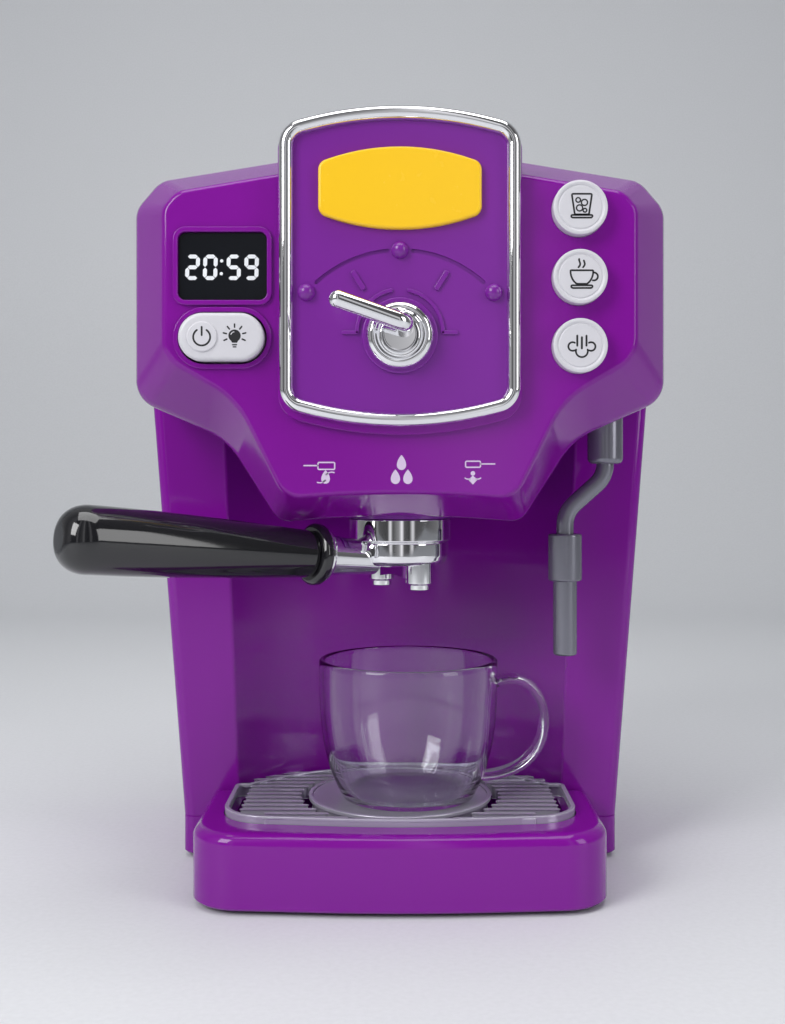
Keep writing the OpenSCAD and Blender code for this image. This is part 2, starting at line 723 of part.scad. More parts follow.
module arc_strip(r, w, a0, a1) {
    n = 16;
    polygon(concat(
        [for (i = [0:n]) (r - w / 2) * [cos(a0 + (a1 - a0) * i / n), sin(a0 + (a1 - a0) * i / n)]],
        [for (i = [n:-1:0]) (r + w / 2) * [cos(a0 + (a1 - a0) * i / n), sin(a0 + (a1 - a0) * i / n)]]));
}
gauge_r = 40.7;
gauge_z = knob_z - 12.8;
knob_collar_r = knob_r + 1.4;
half_ring_r = knob_collar_r + 1.6;
groove_w = 1.3;
bead_w = 1.3;
relief = 0.9;
collar_h = 1.4;
tick_angle = 58;
module dial_panel() {
    front = face_y + panel_proud;
    module at_gauge() { translate([0, gauge_z]) children(); }
    color(purple) difference() {
        union() {
            upright_plate(front, face_y + boss_proud) frame_outline(frame_bar + seat_gap);
            rod_y(0, knob_z, knob_collar_r, front + collar_h, front - 1);
            upright_plate(front + relief, front - 1) {
                translate([0, knob_z + 1]) {
                    arc_strip(half_ring_r, bead_w, 0, 78);
                    arc_strip(half_ring_r, bead_w, 102, 180);
                }
                for (s = [-1, 1]) translate([s * (half_ring_r + 2.2), knob_z + 1]) square([5.6, bead_w], center = true);
                for (s = [-1, 1]) translate([s * 13.6, knob_z + 18]) rotate(s * tick_angle) square([7.3, 1.8], center = true);
            }
            for (a = [41.4, 90, 138.6])
                translate([gauge_r * cos(a), -front, gauge_z + gauge_r * sin(a)]) intersection() {
                    sphere(r = 2.9, $fn = fine);
                    translate([-5, -2, -5]) cube([10, 3, 10]);
                }
        }
        upright_plate(front + 1, front - 0.8) at_gauge() {
            arc_strip(gauge_r, groove_w, 48, 84);
            arc_strip(gauge_r, groove_w, 96, 132);
        }
        rod_y(0, knob_z, shaft_r + run_gap, front + 9, face_y - 9);
    }
}
module chrome_frame() {
    function ring(e, y) = upright(rounded(inset_corners(frame_corners(), e), 7), -y);
    seat = face_y + boss_proud + 0.05;
    front = face_y + frame_proud;
    color(chrome) band([ring(0, seat), ring(0, front - 2.4), ring(0.4, front - 1), ring(1.3, front - 0.2),
        ring(frame_bar / 2, front), ring(frame_bar - 1.3, front - 0.2), ring(frame_bar - 0.4, front - 1),
        ring(frame_bar, front - 2.4), ring(frame_bar, seat)]);
}
plate_half_w = 26.6;
plate_z = frame_z + 25.35;
plate_side_h = 8.4;
module name_plate() {
    corners = both_sides([[0, plate_z - plate_side_h - 9.2, 71],
        [plate_half_w, plate_z - plate_side_h, 3.5],
        [plate_half_w, plate_z + plate_side_h, 3.5],
        [0, plate_z + plate_side_h + 9.2, 71]]);
    front = face_y + panel_proud;
    function ring(e, y) = upright(rounded(inset_corners(corners, e)), -y);
    color([1.0, 0.72, 0.04]) loft([ring(0.9, front + 2.2), ring(0.25, front + 1.9), ring(0, front + 1.2), ring(0, front + 0.02)]);
}
module display_window() {
    color(black) upright_plate(face_y - 0.3, face_y - 0.3 - window_t + seat_gap) display_outline(seat_gap);
}
module display_board() {
    z0 = key_z - 12;
    z1 = display_z + 15;
    color(board_green) {
        difference() {
            translate([-left_x - 15, -display_board_y, z0]) cube([30, board_t, z1 - z0]);
            display_pegs(display_board_y + 9, display_board_y - 9, 0.8);
        }
        translate([-left_x - 12, -face_y + window_t + 0.4, display_z - 8.5])
            cube([24, face_y - window_t - 0.4 - display_board_y, 17]);
        for (s = [-1, 1]) rod_y(-left_x + s * 9, key_z, 2, display_board_y + 2, display_board_y);
    }
}
module control_board() {
    z0 = button_z - button_pitch - 10;
    color(board_green) {
        translate([button_x - 11, -control_board_y, z0]) cube([22, board_t, 2 * (button_z - z0)]);
        button_places() rod_y(0, 0, 3.4, control_board_y + dome_l, control_board_y);
    }
}
module main_board() {
    color(board_green) {
        translate([-36, main_board_y, 162]) cube([52, board_t, 52]);
        translate([-22, main_board_y - 1.5, 180]) cube([12, 1.6, 12]);
        for (z = [168, 202]) translate([4, main_board_y - 6, z]) cube([9, 6.1, 6]);
    }
}
module speaker() {
    back = back_y - wall - 0.1;
    color(black) {
        rod_y(speaker_x, speaker_z, speaker_r, -back + 3, -back);
        rod_y(speaker_x, speaker_z, speaker_r - 4, -back + 8, -back + 2);
    }
}

// ---- Keys and knob ----

module round_button() {
    front = face_y + button_proud;
    step_r = button_r - 1.7;
    color(soft_white) translate([0, -front, 0]) rotate([-90, 0, 0]) rotate_extrude($fn = fine)
        polygon([[0, 0.3], [step_r - 0.5, 0.3], [step_r, 0.7], [step_r + 0.3, 0.25],
            [button_r - 0.9, 0], [button_r - 0.3, 0.3], [button_r, 0.9],
            [button_r, front - button_back], [flange_r, front - button_back],
            [flange_r, front - button_back + flange_t], [3, front - button_back + flange_t],
            [3, front - button_back + flange_t + stem_l], [0, front - button_back + flange_t + stem_l]]);
}
module iced_button() { translate([button_x, 0, button_z + button_pitch]) round_button(); }
module coffee_button() { translate([button_x, 0, button_z]) round_button(); }
module steam_button() { translate([button_x, 0, button_z - button_pitch]) round_button(); }
key_proud = 5;
module power_key() {
    front = face_y + key_proud;
    color(soft_white) {
        upright_plate(front - 1, pin_y - 2) key_outline(0);
        upright_plate(front - 0.4, front - 1.1) key_outline(0.5);
        upright_plate(front, front - 0.5) key_outline(1.4);
        rod_y(-left_x - 6, key_z, 5, front + 0.6, front - 0.5);
        translate([-left_x, -pin_y, key_z]) cylinder(h = key_h + 2 * pin_reach - 1, r = pin_r, center = true, $fn = fine);
    }
}
knob_y = face_y + panel_proud + collar_h + seat_gap;
lever_root = [1.5, 2.5];
lever_len = 22.5;
retainer_t = 3;
module steam_knob() {
    r = lever_d / 2;
    disc_t = 4.4;
    bend_y = knob_y + disc_t + 9;
    color(chrome) {
        translate([0, -knob_y, knob_z]) rotate([90, 0, 0]) rotate_extrude($fn = fine)
            polygon([[0, 0], [knob_r, 0], [knob_r, 1.6], [knob_r - 0.5, 2.8], [knob_r - 1.4, 3.6],
                [knob_r - 2.4, 3.8], [knob_r - 3.4, 3.3], [6.4, 2.6], [5.6, 3.4], [4.8, disc_t], [0, disc_t]]);
        rod_y(lever_root.x, knob_z + lever_root.y, r, bend_y, knob_y + 1);
        translate([lever_root.x, -bend_y, knob_z + lever_root.y]) {
            sphere(r = r + 0.06, $fn = fine);
            rotate([0, lever_rise, 0]) rotate([0, 0, 12]) rotate([0, -90, 0]) rotate_extrude($fn = fine)
                polygon(concat([[0, 0], [r, 0]], [for (a = [0:15:75]) [r * cos(a), lever_len + r * sin(a)]],
                    [[0, lever_len + r]]));
        }
        rod_y(0, knob_z, shaft_r, knob_y + 1, face_y - wall - retainer_t - 1);
    }
}
module knob_retainer() {
    front = face_y - wall - seat_gap;
    color(soft_white) difference() {
        union() {
            rod_y(0, knob_z, 8, front, front - retainer_t);
            for (k = [0:11]) rod_y(8 * cos(30 * k), knob_z + 8 * sin(30 * k), 0.9, front, front - retainer_t);
        }
        rod_y(0, knob_z, shaft_r + 0.02, front + 9, front - 9);
    }
}

// ---- Group, filter holder ----

ring_floor = ring_top - ring_h;
basket_foot = ring_top - 16.8;
spigot_foot = ring_floor + 1.2;
groove_z0 = ring_top - 5.4;
groove_z1 = ring_top - 2.6;
module group_collar() {
    top = head_chin + 2.6 + wall + seam_step;
    color(deep_purple) difference() {
        translate([0, -group_y, 0]) rotate_extrude($fn = fine) polygon([
            [0, spigot_foot], [spigot_r, spigot_foot], [spigot_r, groove_z0], [spigot_r - 1.5, groove_z0],
            [spigot_r - 1.5, groove_z1], [spigot_r, groove_z1], [spigot_r, ring_top + 0.3],
            [collar_r, ring_top + 0.3], [collar_r, top + 0.2], [collar_flange_r, top + 0.2],
            [collar_flange_r, top + 2.2], [0, top + 2.2]]);
        for (k = [0:5]) translate([8 * cos(60 * k), 8 * sin(60 * k) - group_y, spigot_foot - 1])
            cylinder(h = 4, r = 1, $fn = fine);
    }
}
grip_rise = 5.4;
grip_z = ring_top - 15.3;
flange_s = 33;
module along_grip() {
    translate([0, -group_y, grip_z]) rotate([0, 0, 180 + handle_turn]) rotate([0, 90 - grip_rise, 0]) children();
}
spout_r = 4.8;
module filter_holder() {
    bore_r = spigot_r + run_gap;
    color(chrome) {
        difference() {
            union() {
                translate([0, -group_y, 0]) rotate_extrude($fn = fine) polygon([
                    [0, basket_foot], [basket_r - 3.4, basket_foot], [basket_r - 1.6, basket_foot + 0.5],
                    [basket_r - 0.5, basket_foot + 1.6], [basket_r, basket_foot + 3.4],
                    [basket_r, ring_floor - 0.5], [basket_r - 0.5, ring_floor], [ring_r - 0.3, ring_floor],
                    [ring_r, ring_floor + 0.3], [ring_r, ring_top - 0.3], [ring_r - 0.3, ring_top], [0, ring_top]]);
                along_grip() translate([0, 0, 12]) cylinder(h = flange_s - 11, r1 = 5.8, r2 = 7.35, $fn = fine);
                along_grip() translate([0, 0, flange_s - 1.4]) rotate_extrude($fn = fine)
                    polygon([[0, 0], [7.35, 0], [9.2, 1.2], [9.8, 2.2], [9.8, 2.8], [0, 2.8]]);
                translate([0, -group_y, 0]) rotate([0, 0, 90 + handle_turn]) {
                    rotate([90, 0, 0]) translate([0, 0, -3.2]) linear_extrude(6.4) polygon([
                        [-spout_off - 2.8, basket_foot + 1.5], [-spout_off - 2.8, spout_tip + 3.4], [-spout_off, spout_tip + 3.4],
                        [-1.2, basket_foot - 3.6], [1.2, basket_foot - 3.6], [spout_off, spout_tip + 3.4],
                        [spout_off + 2.8, spout_tip + 3.4], [spout_off + 2.8, basket_foot + 1.5]]);
                    for (s = [-1, 1]) translate([s * spout_off, 0, spout_tip]) {
                        translate([0, 0, 1.8]) cylinder(h = basket_foot - spout_tip - 0.8, r = spout_r, $fn = fine);
                        cylinder(h = 3, r = spout_r - 1, $fn = fine);
                    }
                }
            }
            translate([0, -group_y, ring_floor]) cylinder(h = 30, r = bore_r, $fn = fine);
            translate([0, -group_y, 0]) rotate([0, 0, 90 + handle_turn]) for (s = [-1, 1])
                translate([s * spout_off, 0, spout_tip - 1]) cylinder(h = 7, r = spout_r - 2.2, $fn = fine);
            along_grip() translate([0, 0, flange_s - 6]) cylinder(h = 30, r = 3.5 + seat_gap, $fn = fine);
        }
        translate([0, -group_y, 0]) for (a = [-25, 155]) rotate([0, 0, handle_turn + a]) intersection() {
            translate([0, 0, groove_z0 + 0.3]) difference() {
                cylinder(h = groove_z1 - groove_z0 - 0.6, r = bore_r + 0.5, $fn = fine);
                translate([0, 0, -1]) cylinder(h = 9, r = spigot_r - 1.2, $fn = fine);
            }
            translate([0, 0, groove_z0]) linear_extrude(9) polygon([[0, 0], [30, -8], [30, 8]]);
        }
    }
}
collar_s = flange_s + 1.5;
collar_w = 4;
grip_s = collar_s + collar_w + seat_gap;
module grip_collar() {
    color(black) along_grip() translate([0, 0, collar_s]) rotate_extrude($fn = fine)
        polygon([[3.6, 0], [9.9, 0], [10.75, 0.8], [10.75, collar_w - 1], [9.6, collar_w], [3.6, collar_w]]);
}
module filter_grip() {
    n = 12;
    foot_r = 8.15;
    cap = 9;
    body = handle_reach - grip_s - cap;
    function grip_radius(t) = foot_r + (handle_r - foot_r) * sin(90 * t);
    color(black) along_grip() {
        translate([0, 0, grip_s]) rotate_extrude($fn = fine) polygon(concat([[0, 0]],
            [for (i = [0:n]) [grip_radius(i / n), body * i / n]],
            [for (a = [15:15:75]) [handle_r * (0.35 + 0.65 * cos(a)), body + cap * sin(a)]],
            [[handle_r * 0.35, body + cap], [0, body + cap]]));
        translate([0, 0, flange_s - 5.5]) cylinder(h = grip_s - flange_s + 6, r = 3.5, $fn = fine);
    }
}

// ---- Steam wand ----

wand_offset = 14.5;
pipe_top = socket_top - 4;
bend_top = socket_foot;
lean_len = (wand_offset - 2 * bend_r * (1 - cos(pipe_lean))) / sin(pipe_lean);
bend_drop = 2 * bend_r * sin(pipe_lean) + lean_len * cos(pipe_lean);
sleeve_r = 6.1;
sleeve_top = 123.7;
sleeve_l = 17;
tip_r = 4.3;
pipe_foot = sleeve_top - 10;
module wand_socket() {
    color(steel_grey) translate([wand_x, -wand_y, 0]) difference() {
        union() {
            translate([0, 0, socket_foot]) rotate_extrude($fn = fine) polygon([[0, 0], [socket_r - 1.6, 0],
                [socket_r - 0.5, 0.5], [socket_r, 1.6], [socket_r, socket_top - socket_foot],
                [0, socket_top - socket_foot]]);
            translate([0, 0, socket_top]) cylinder(h = 2, r = socket_r + 1.8, $fn = fine);
        }
        translate([0, 0, socket_foot - 1]) cylinder(h = pipe_top - socket_foot + 1.2, r = pipe_r + run_gap, $fn = fine);
    }
}
// The S-bend of the pipe, from [0, 0] at its top: each point is [x, z, lean]
bend_steps = 6;
bend_path = concat([[0, 1.5, 0]],
    [for (i = [0:bend_steps]) let (a = pipe_lean * i / bend_steps)
        [-bend_r * (1 - cos(a)), -bend_r * sin(a), a]],
    [for (i = [bend_steps:-1:0]) let (a = pipe_lean * i / bend_steps)
        [-wand_offset + bend_r * (1 - cos(a)), -bend_drop + bend_r * sin(a), a]],
    [[-wand_offset, -bend_drop - 1.5, 0]]);
module wand_pipe() {
    sides = 20;
    swept_r = pipe_r - 0.02;
    color(steel_grey) {
        translate([wand_x, -wand_y, bend_top]) cylinder(h = pipe_top - bend_top, r = pipe_r, $fn = fine);
        translate([wand_x, -wand_y, bend_top]) loft([for (p = bend_path)
            [for (k = [0:sides - 1]) let (a = 360 * k / sides, u = swept_r * cos(a))
                [p.x + u * cos(p.z), swept_r * sin(a), p.y - u * sin(p.z)]]]);
        translate([wand_x - wand_offset, -wand_y, pipe_foot])
            cylinder(h = bend_top - bend_drop - pipe_foot, r = pipe_r, $fn = fine);
    }
}
module wand_sleeve() {
    color(steel_grey) translate([wand_x - wand_offset, -wand_y, 0]) difference() {
        rotate_extrude($fn = fine) polygon([[0, wand_tip], [tip_r - 0.6, wand_tip], [tip_r, wand_tip + 0.6],
            [tip_r, sleeve_top - sleeve_l], [sleeve_r - 0.5, sleeve_top - sleeve_l],
            [sleeve_r, sleeve_top - sleeve_l + 0.5], [sleeve_r, sleeve_top - 0.5],
            [sleeve_r - 0.5, sleeve_top], [0, sleeve_top]]);
        translate([0, 0, pipe_foot - seat_gap]) cylinder(h = 40, r = pipe_r + seat_gap, $fn = fine);
        translate([0, 0, wand_tip - 1]) cylinder(h = 5, r = 1.6, $fn = fine);
    }
}

// ---- Cup ----

cup_floor = 4;
cup_power = 3.3;
cup_z = platform_z + 0.1;
function cup_radius(h) = cup_r - (cup_r - cup_foot_r) * pow(1 - h / cup_h, cup_power);
module cup() {
    n = 12;
    color([0.86, 0.9, 0.95, 0.4]) translate([cup_x, -group_y, cup_z]) {
        rotate_extrude($fn = fine) polygon(concat(
            [[0, 0.8], [cup_foot_r - 3, 0.8], [cup_foot_r - 2.2, 0], [cup_foot_r - 0.5, 0]],
            [for (i = [0:n]) let (h = 0.8 + (cup_h - 1.4) * pow(i / n, 1.4)) [cup_radius(h), h]],
            [[cup_r - 0.4, cup_h - 0.1], [cup_r - 0.9, cup_h], [cup_r - cup_wall + 0.3, cup_h - 0.2]],
            [for (i = [n:-1:0]) let (h = cup_floor + (cup_h - cup_floor - 0.8) * pow(i / n, 1.4))
                [cup_radius(h) - cup_wall - 1.5 * pow(1 - i / n, 3), h]],
            [[0, cup_floor - 0.4]]));
        cup_handle();
    }
}
// The handle is an oval band swept along one smooth curve from the rim to the belly of the cup
module cup_handle() {
    n = 16;
    sides = 12;
    half_t = 2;
    half_w = 4;
    p = [[cup_radius(cup_h - 9) - 1.1, cup_h - 9], [cup_reach + 1, cup_h + 1.5],
        [cup_reach + 10.5, 10], [cup_radius(9) - 1.1, 9]];
    function bezier(t) = pow(1 - t, 3) * p[0] + 3 * t * pow(1 - t, 2) * p[1] + 3 * t * t * (1 - t) * p[2] + t * t * t * p[3];
    function heading(t) = unit(bezier(t + 0.01) - bezier(t - 0.01));
    loft([for (i = [n:-1:0]) let (t = i / n, c = bezier(t), e = left_of(heading(t)))
        [for (k = [0:sides - 1]) let (a = 360 * k / sides, u = half_t * cos(a))
            [c.x + e.x * u, -half_w * sin(a), c.y + e.y * u]]]);
}

base_housing();
base_plate();
rubber_feet();
base_screws();
drip_grille();
column_front();
column_rear();
head_front();
head_rear();
rear_screws();
dial_panel();
chrome_frame();
name_plate();
display_window();
display_board();
control_board();
main_board();
speaker();
battery_door();
batteries();
battery_contacts();
steam_knob();
knob_retainer();
iced_button();
coffee_button();
steam_button();
power_key();
group_collar();
filter_holder();
filter_grip();
grip_collar();
wand_socket();
wand_pipe();
wand_sleeve();
cup();
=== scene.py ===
from math import acos, atan2, cos, pi, radians, sin, sqrt, tan

import bmesh
import bpy
import numpy as np
from mathutils import Matrix, Vector


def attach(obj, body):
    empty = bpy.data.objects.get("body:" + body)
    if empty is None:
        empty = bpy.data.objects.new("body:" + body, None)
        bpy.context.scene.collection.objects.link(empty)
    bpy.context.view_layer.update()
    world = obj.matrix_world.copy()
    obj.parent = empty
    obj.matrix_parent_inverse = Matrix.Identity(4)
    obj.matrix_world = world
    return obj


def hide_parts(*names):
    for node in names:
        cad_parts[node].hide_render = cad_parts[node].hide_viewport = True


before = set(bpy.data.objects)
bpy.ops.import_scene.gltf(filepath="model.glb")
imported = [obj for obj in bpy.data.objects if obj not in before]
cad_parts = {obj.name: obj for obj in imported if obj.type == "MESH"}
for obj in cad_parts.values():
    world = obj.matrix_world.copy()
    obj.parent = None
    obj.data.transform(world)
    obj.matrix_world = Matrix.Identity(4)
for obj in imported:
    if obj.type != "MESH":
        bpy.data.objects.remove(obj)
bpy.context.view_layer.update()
MM = 0.001

# ---------------------------------------------------------------- sizes, in millimetres

FACE_Y, RIM_Y, SEAM_Y, BACK_Y = 71.0, 46.0, 20.0, 74.0
BOSS, PANEL, FRAME_FRONT = 2.3, 4.0, 7.0
FRAME_HALF_W, FRAME_Z, FRAME_HALF_H, FRAME_BAR = 39.6, 213.05, 46.15, 4.7
KNOB_Z, GAUGE_R = 190.5, 40.7
BUTTON_X, BUTTON_Z, BUTTON_PITCH, BUTTON_R, BUTTON_PROUD = 58.8, 209.8, 22.5, 8.9, 5.0
LEFT_X, DISPLAY_Z, DISPLAY_W, DISPLAY_H = 58.4, 213.8, 29.3, 22.4
KEY_Z, KEY_W, KEY_H, KEY_PROUD, KEY_GAP = 190.1, 28.0, 15.8, 5.0, 0.6
HEAD_HALF_W, SHOULDER, SIDE_FOOT, CHIN = 92.6, 247.8, 171.5, 128.3
GROUP_Y, GROUP_HOLE_R, GROUP_HOLE_H, BASKET_FOOT = 27.0, 20.1, 20, 112.4
# The handle's axis: its height, its heading and rise in degrees, and where its parts start along it
GRIP_Z, GRIP_TURN, GRIP_RISE = 113.9, 215, 5.4
GRIP_START, GRIP_REACH, GRIP_COLLAR = 38.6, 128, 34.5
SPOUT_TURN, SPOUT_OFFSET, SPOUT_TIP = 125, 12, 104
WAND_X, WAND_Y, WAND_OFFSET, BEND_R, LEAN, PIPE_R = 74.2, 31.0, 14.5, 10.0, radians(48), 3.15
SOCKET_Z, SOCKET_H, SLEEVE_Z, PIPE_FOOT = 148.9, 22.1, 79.8, 113.7
TRAY_HALF_W, TRAY_FRONT, TRAY_TOP, PLINTH_TOP, FOOT_GAP, TRAY_EDGE = 70.5, 75.0, 26.7, 16.0, 1.6, 4.0
COLUMN_FRONT_Y, COLUMN_SEAM_Y = 11.0, 40.0
GRILLE_TOP, GRILLE_T, GRILLE_HOLE_R, SLOT_W, SLOT_PITCH = 29.2, 5.0, 31.6, 2.2, 5.2
SHELF_Z, WALL, SHELL_GAP = 160.0, 2.4, 0.1
SCREW_X, SCREW_LOW, SCREW_HIGH, SCREW_HOLE_R, SCREW_HOLE_T = 52, 36, 222, 2.9, 1.4
SPEAKER_X, SPEAKER_Z, SOUND_PITCH, SOUND_HOLE_R = 42, 206, 4.6, 1.1
DOOR_Z, DOOR_W, DOOR_H, DOOR_T = 85.5, 52, 62, 2.2
CUP_R, CUP_H, CUP_FOOT_R, CUP_WALL, CUP_REACH = 32.5, 51.8, 22.5, 1.8, 50.7
CUP_X, CUP_Z = 3.0, GRILLE_TOP - 3 + 0.1

# ---------------------------------------------------------------- outlines (as in the CAD source)


def unit(v):
    return v / np.linalg.norm(v)


def both_sides(half):
    return [tuple(c) for c in half] + [(-x, y, r) for x, y, r in reversed(half) if abs(x) > 0.01]


def rounded(corners, n=14):
    """Points round an outline of corners (x, y, radius); every corner gives n + 1 points."""
    out = []
    m = len(corners)
    for i in range(m):
        a, b, c = (np.array(corners[(i + k) % m][:2], float) for k in (-1, 0, 1))
        r = corners[i][2]
        u, v = unit(a - b), unit(c - b)
        half = acos(float(u @ v)) / 2
        centre = b + unit(u + v) * r / sin(half)
        start = b + u * r / tan(half) - centre
        stop = b + v * r / tan(half) - centre
        a0 = atan2(start[1], start[0])
        sweep = (atan2(stop[1], stop[0]) - a0 + 3 * pi) % (2 * pi) - pi
        for k in range(n + 1):
            t = a0 + sweep * k / n
            out.append(centre + r * np.array([cos(t), sin(t)]))
    return np.array(out)


def inset(corners, d):
    """The same corners with the outline moved inwards by d, arcs kept concentric."""
    out = []
    m = len(corners)
    for i in range(m):
        a, b, c = (np.array(corners[(i + k) % m][:2], float) for k in (-1, 0, 1))
        e1, e2 = unit(b - a), unit(c - b)
        n1, n2 = np.array([-e1[1], e1[0]]), np.array([-e2[1], e2[0]])
        moved = b + (n1 + n2) * d / (1 + n1 @ n2)
        turn = e1[0] * e2[1] - e1[1] * e2[0]
        out.append((moved[0], moved[1], max(1.0, corners[i][2] + (-d if turn > 0 else d))))
    return out


def upright(points, y):
    p = np.asarray(points, float)
    return np.column_stack([p[:, 0], np.full(len(p), float(y)), p[:, 1]])


def level(points, z):
    p = np.asarray(points, float)
    return np.column_stack([p[:, 0], p[:, 1], np.full(len(p), float(z))])


def bend(p0, p1, p2, n):
    """n + 1 rings that turn smoothly from ring p0 to ring p2, as if round ring p1."""
    return [(1 - u) ** 2 * p0 + 2 * u * (1 - u) * p1 + u * u * p2 for u in np.linspace(0, 1, n + 1)]


HEAD = both_sides([(0, CHIN + 3.5, 380), (42.5, CHIN, 7), (60.6, 157, 26), (HEAD_HALF_W, SIDE_FOOT, 10),
                   (HEAD_HALF_W, SHOULDER - 10, 9), (HEAD_HALF_W - 8.6, SHOULDER, 9), (0, SHOULDER + 13.6, 272)])
FACE = both_sides([(0, CHIN + 12, 380), (38, CHIN + 9, 9), (54, 170, 30), (78, 184, 12),
                   (78, SHOULDER - 15, 6), (73.5, SHOULDER - 9.5, 8), (0, SHOULDER + 3, 272)])
FRAME = both_sides([(0, FRAME_Z - FRAME_HALF_H - 10.4, 121), (FRAME_HALF_W, FRAME_Z - FRAME_HALF_H, 9),
                    (FRAME_HALF_W, FRAME_Z + FRAME_HALF_H, 9), (0, FRAME_Z + FRAME_HALF_H + 10.4, 121)])


def recess_half_w(z):
    return 60.5 + (66.8 - 60.5) * (z - PLINTH_TOP) / (SIDE_FOOT - PLINTH_TOP)


def column_half_w(z):
    return 82 + (94 - 82) * (z - PLINTH_TOP) / (SIDE_FOOT - PLINTH_TOP)


def recess_apex(z):
    return recess_half_w(z) * tan(radians(44)) - (COLUMN_FRONT_Y - 2.5)


def recess_r(z):
    w, h = recess_half_w(z), recess_apex(z) + COLUMN_FRONT_Y
    return 0.94 * w * w / h * sqrt(1 + (h / w) ** 2)


def column_corners(z):
    return both_sides([(0, recess_apex(z), recess_r(z)), (recess_half_w(z), -COLUMN_FRONT_Y, 2),
                       (column_half_w(z), -COLUMN_FRONT_Y, 4.5), (column_half_w(z), BACK_Y, 16)])


def tray_corners(z=PLINTH_TOP):
    side = recess_half_w(z) - 1.4
    return both_sides([(0, -TRAY_FRONT - 0.8, 420), (TRAY_HALF_W, 4 - TRAY_FRONT, 17),
                       (TRAY_HALF_W, -COLUMN_FRONT_Y - 0.4, 2), (side, -COLUMN_FRONT_Y - 0.4, 0.8),
                       (0, recess_apex(z) - 1.4, recess_r(z) - 3)])


def grille_corners(z=PLINTH_TOP):
    edge, side = -COLUMN_FRONT_Y - 0.4 - 2.5, recess_half_w(z) - 1.4 - 2.5
    return both_sides([(0, 11 - TRAY_FRONT, 200), (TRAY_HALF_W - 9, 18 - TRAY_FRONT, 16), (TRAY_HALF_W - 9, edge, 3),
                       (side, edge, 0.8), (0, recess_apex(z) - 1.4 - 3.5, recess_r(z) - 8)])


# ---------------------------------------------------------------- materials


class Nodes:
    """A small helper that makes a material's node tree readable."""

    def __init__(self, name):
        self.mat = bpy.data.materials.new(name)
        self.mat.use_nodes = True
        self.tree = self.mat.node_tree
        self.shader = self.tree.nodes["Principled BSDF"]

    def add(self, kind, **sockets):
        node = self.tree.nodes.new(kind)
        for key, value in sockets.items():
            if key in node.inputs:
                node.inputs[key].default_value = value
            else:
                setattr(node, key, value)
        return node

    def link(self, a, b):
        self.tree.links.new(a, b)

    def set(self, **sockets):
        for key, value in sockets.items():
            self.shader.inputs[key.replace("_", " ")].default_value = value

    def noise(self, scale, detail=2.0):
        where = self.add("ShaderNodeTexCoord")
        tex = self.add("ShaderNodeTexNoise", Scale=scale, Detail=detail)
        self.link(where.outputs["Object"], tex.inputs["Vector"])
        return tex.outputs["Fac"]

    def mapped(self, fac, low, high):
        node = self.add("ShaderNodeMapRange")
        self.link(fac, node.inputs["Value"])
        node.inputs["To Min"].default_value = low
        node.inputs["To Max"].default_value = high
        return node.outputs["Result"]

    def mix(self, fac, one, two):
        node = self.add("ShaderNodeMix", data_type="RGBA")
        self.link(fac, node.inputs[0])
        node.inputs[6].default_value = (*one, 1)
        node.inputs[7].default_value = (*two, 1)
        return node.outputs[2]

    def bump(self, height, strength, distance):
        node = self.add("ShaderNodeBump", Strength=strength, Distance=distance)
        self.link(height, node.inputs["Height"])
        self.link(node.outputs["Normal"], self.shader.inputs["Normal"])


def moulded(name, colour, deep, rough=(0.12, 0.2), coat=0.0, grain=0.04, specular=0.5, metal=0.0):
    """Injection moulded plastic: faint flow marks in the colour, uneven gloss, a very slight orange peel."""
    n = Nodes(name)
    flow = n.noise(18, 3)
    n.link(n.mix(flow, deep, colour), n.shader.inputs["Base Color"])
    n.link(n.mapped(n.noise(240, 4), *rough), n.shader.inputs["Roughness"])
    n.bump(n.noise(900, 2), grain, 0.0002)
    n.set(Coat_Weight=coat, Coat_Roughness=0.05, Specular_IOR_Level=specular, Metallic=metal)
    return n.mat


def plated(name, colour, rough=(0.03, 0.07)):
    """Vacuum plated plastic: a mirror with the slight waviness of the moulding under it."""
    n = Nodes(name)
    n.link(n.mix(n.noise(30, 2), [c * 0.96 for c in colour], colour), n.shader.inputs["Base Color"])
    n.link(n.mapped(n.noise(160, 3), *rough), n.shader.inputs["Roughness"])
    n.bump(n.noise(60, 1), 0.05, 0.0004)
    n.set(Metallic=1.0)
    return n.mat


def clear(name):
    """Clear polished plastic of the cup."""
    n = Nodes(name)
    n.link(n.mapped(n.noise(120, 2), 0.0, 0.03), n.shader.inputs["Roughness"])
    n.set(Base_Color=(0.97, 0.98, 1.0, 1), Transmission_Weight=1.0, IOR=1.45)
    return n.mat


def printed(name, colour, rough=0.45):
    n = Nodes(name)
    n.link(n.mix(n.noise(500, 2), [c * 0.9 for c in colour], colour), n.shader.inputs["Base Color"])
    n.set(Roughness=rough)
    return n.mat


PURPLE = moulded("purple_plastic", (0.225, 0.006, 0.310), (0.205, 0.005, 0.288), rough=(0.09, 0.14), coat=0.15,
                 specular=0.32)
PANEL_PURPLE = moulded("panel_purple", (0.195, 0.014, 0.310), (0.178, 0.012, 0.288), rough=(0.20, 0.27), coat=0.1)
CHROME = plated("bright_chrome", (0.88, 0.88, 0.90))
YELLOW = moulded("yellow_plastic", (1.0, 0.60, 0.010), (0.97, 0.57, 0.007), rough=(0.22, 0.3), coat=0.2)
WHITE = moulded("white_plastic", (0.68, 0.67, 0.71), (0.65, 0.64, 0.68), rough=(0.28, 0.36), grain=0.06)
BLACK_GLOSS = moulded("black_gloss", (0.012, 0.012, 0.014), (0.008, 0.008, 0.010), rough=(0.06, 0.12), coat=0.5)
BLACK_WINDOW = moulded("black_window", (0.006, 0.007, 0.010), (0.004, 0.005, 0.008), rough=(0.10, 0.15), grain=0.0)
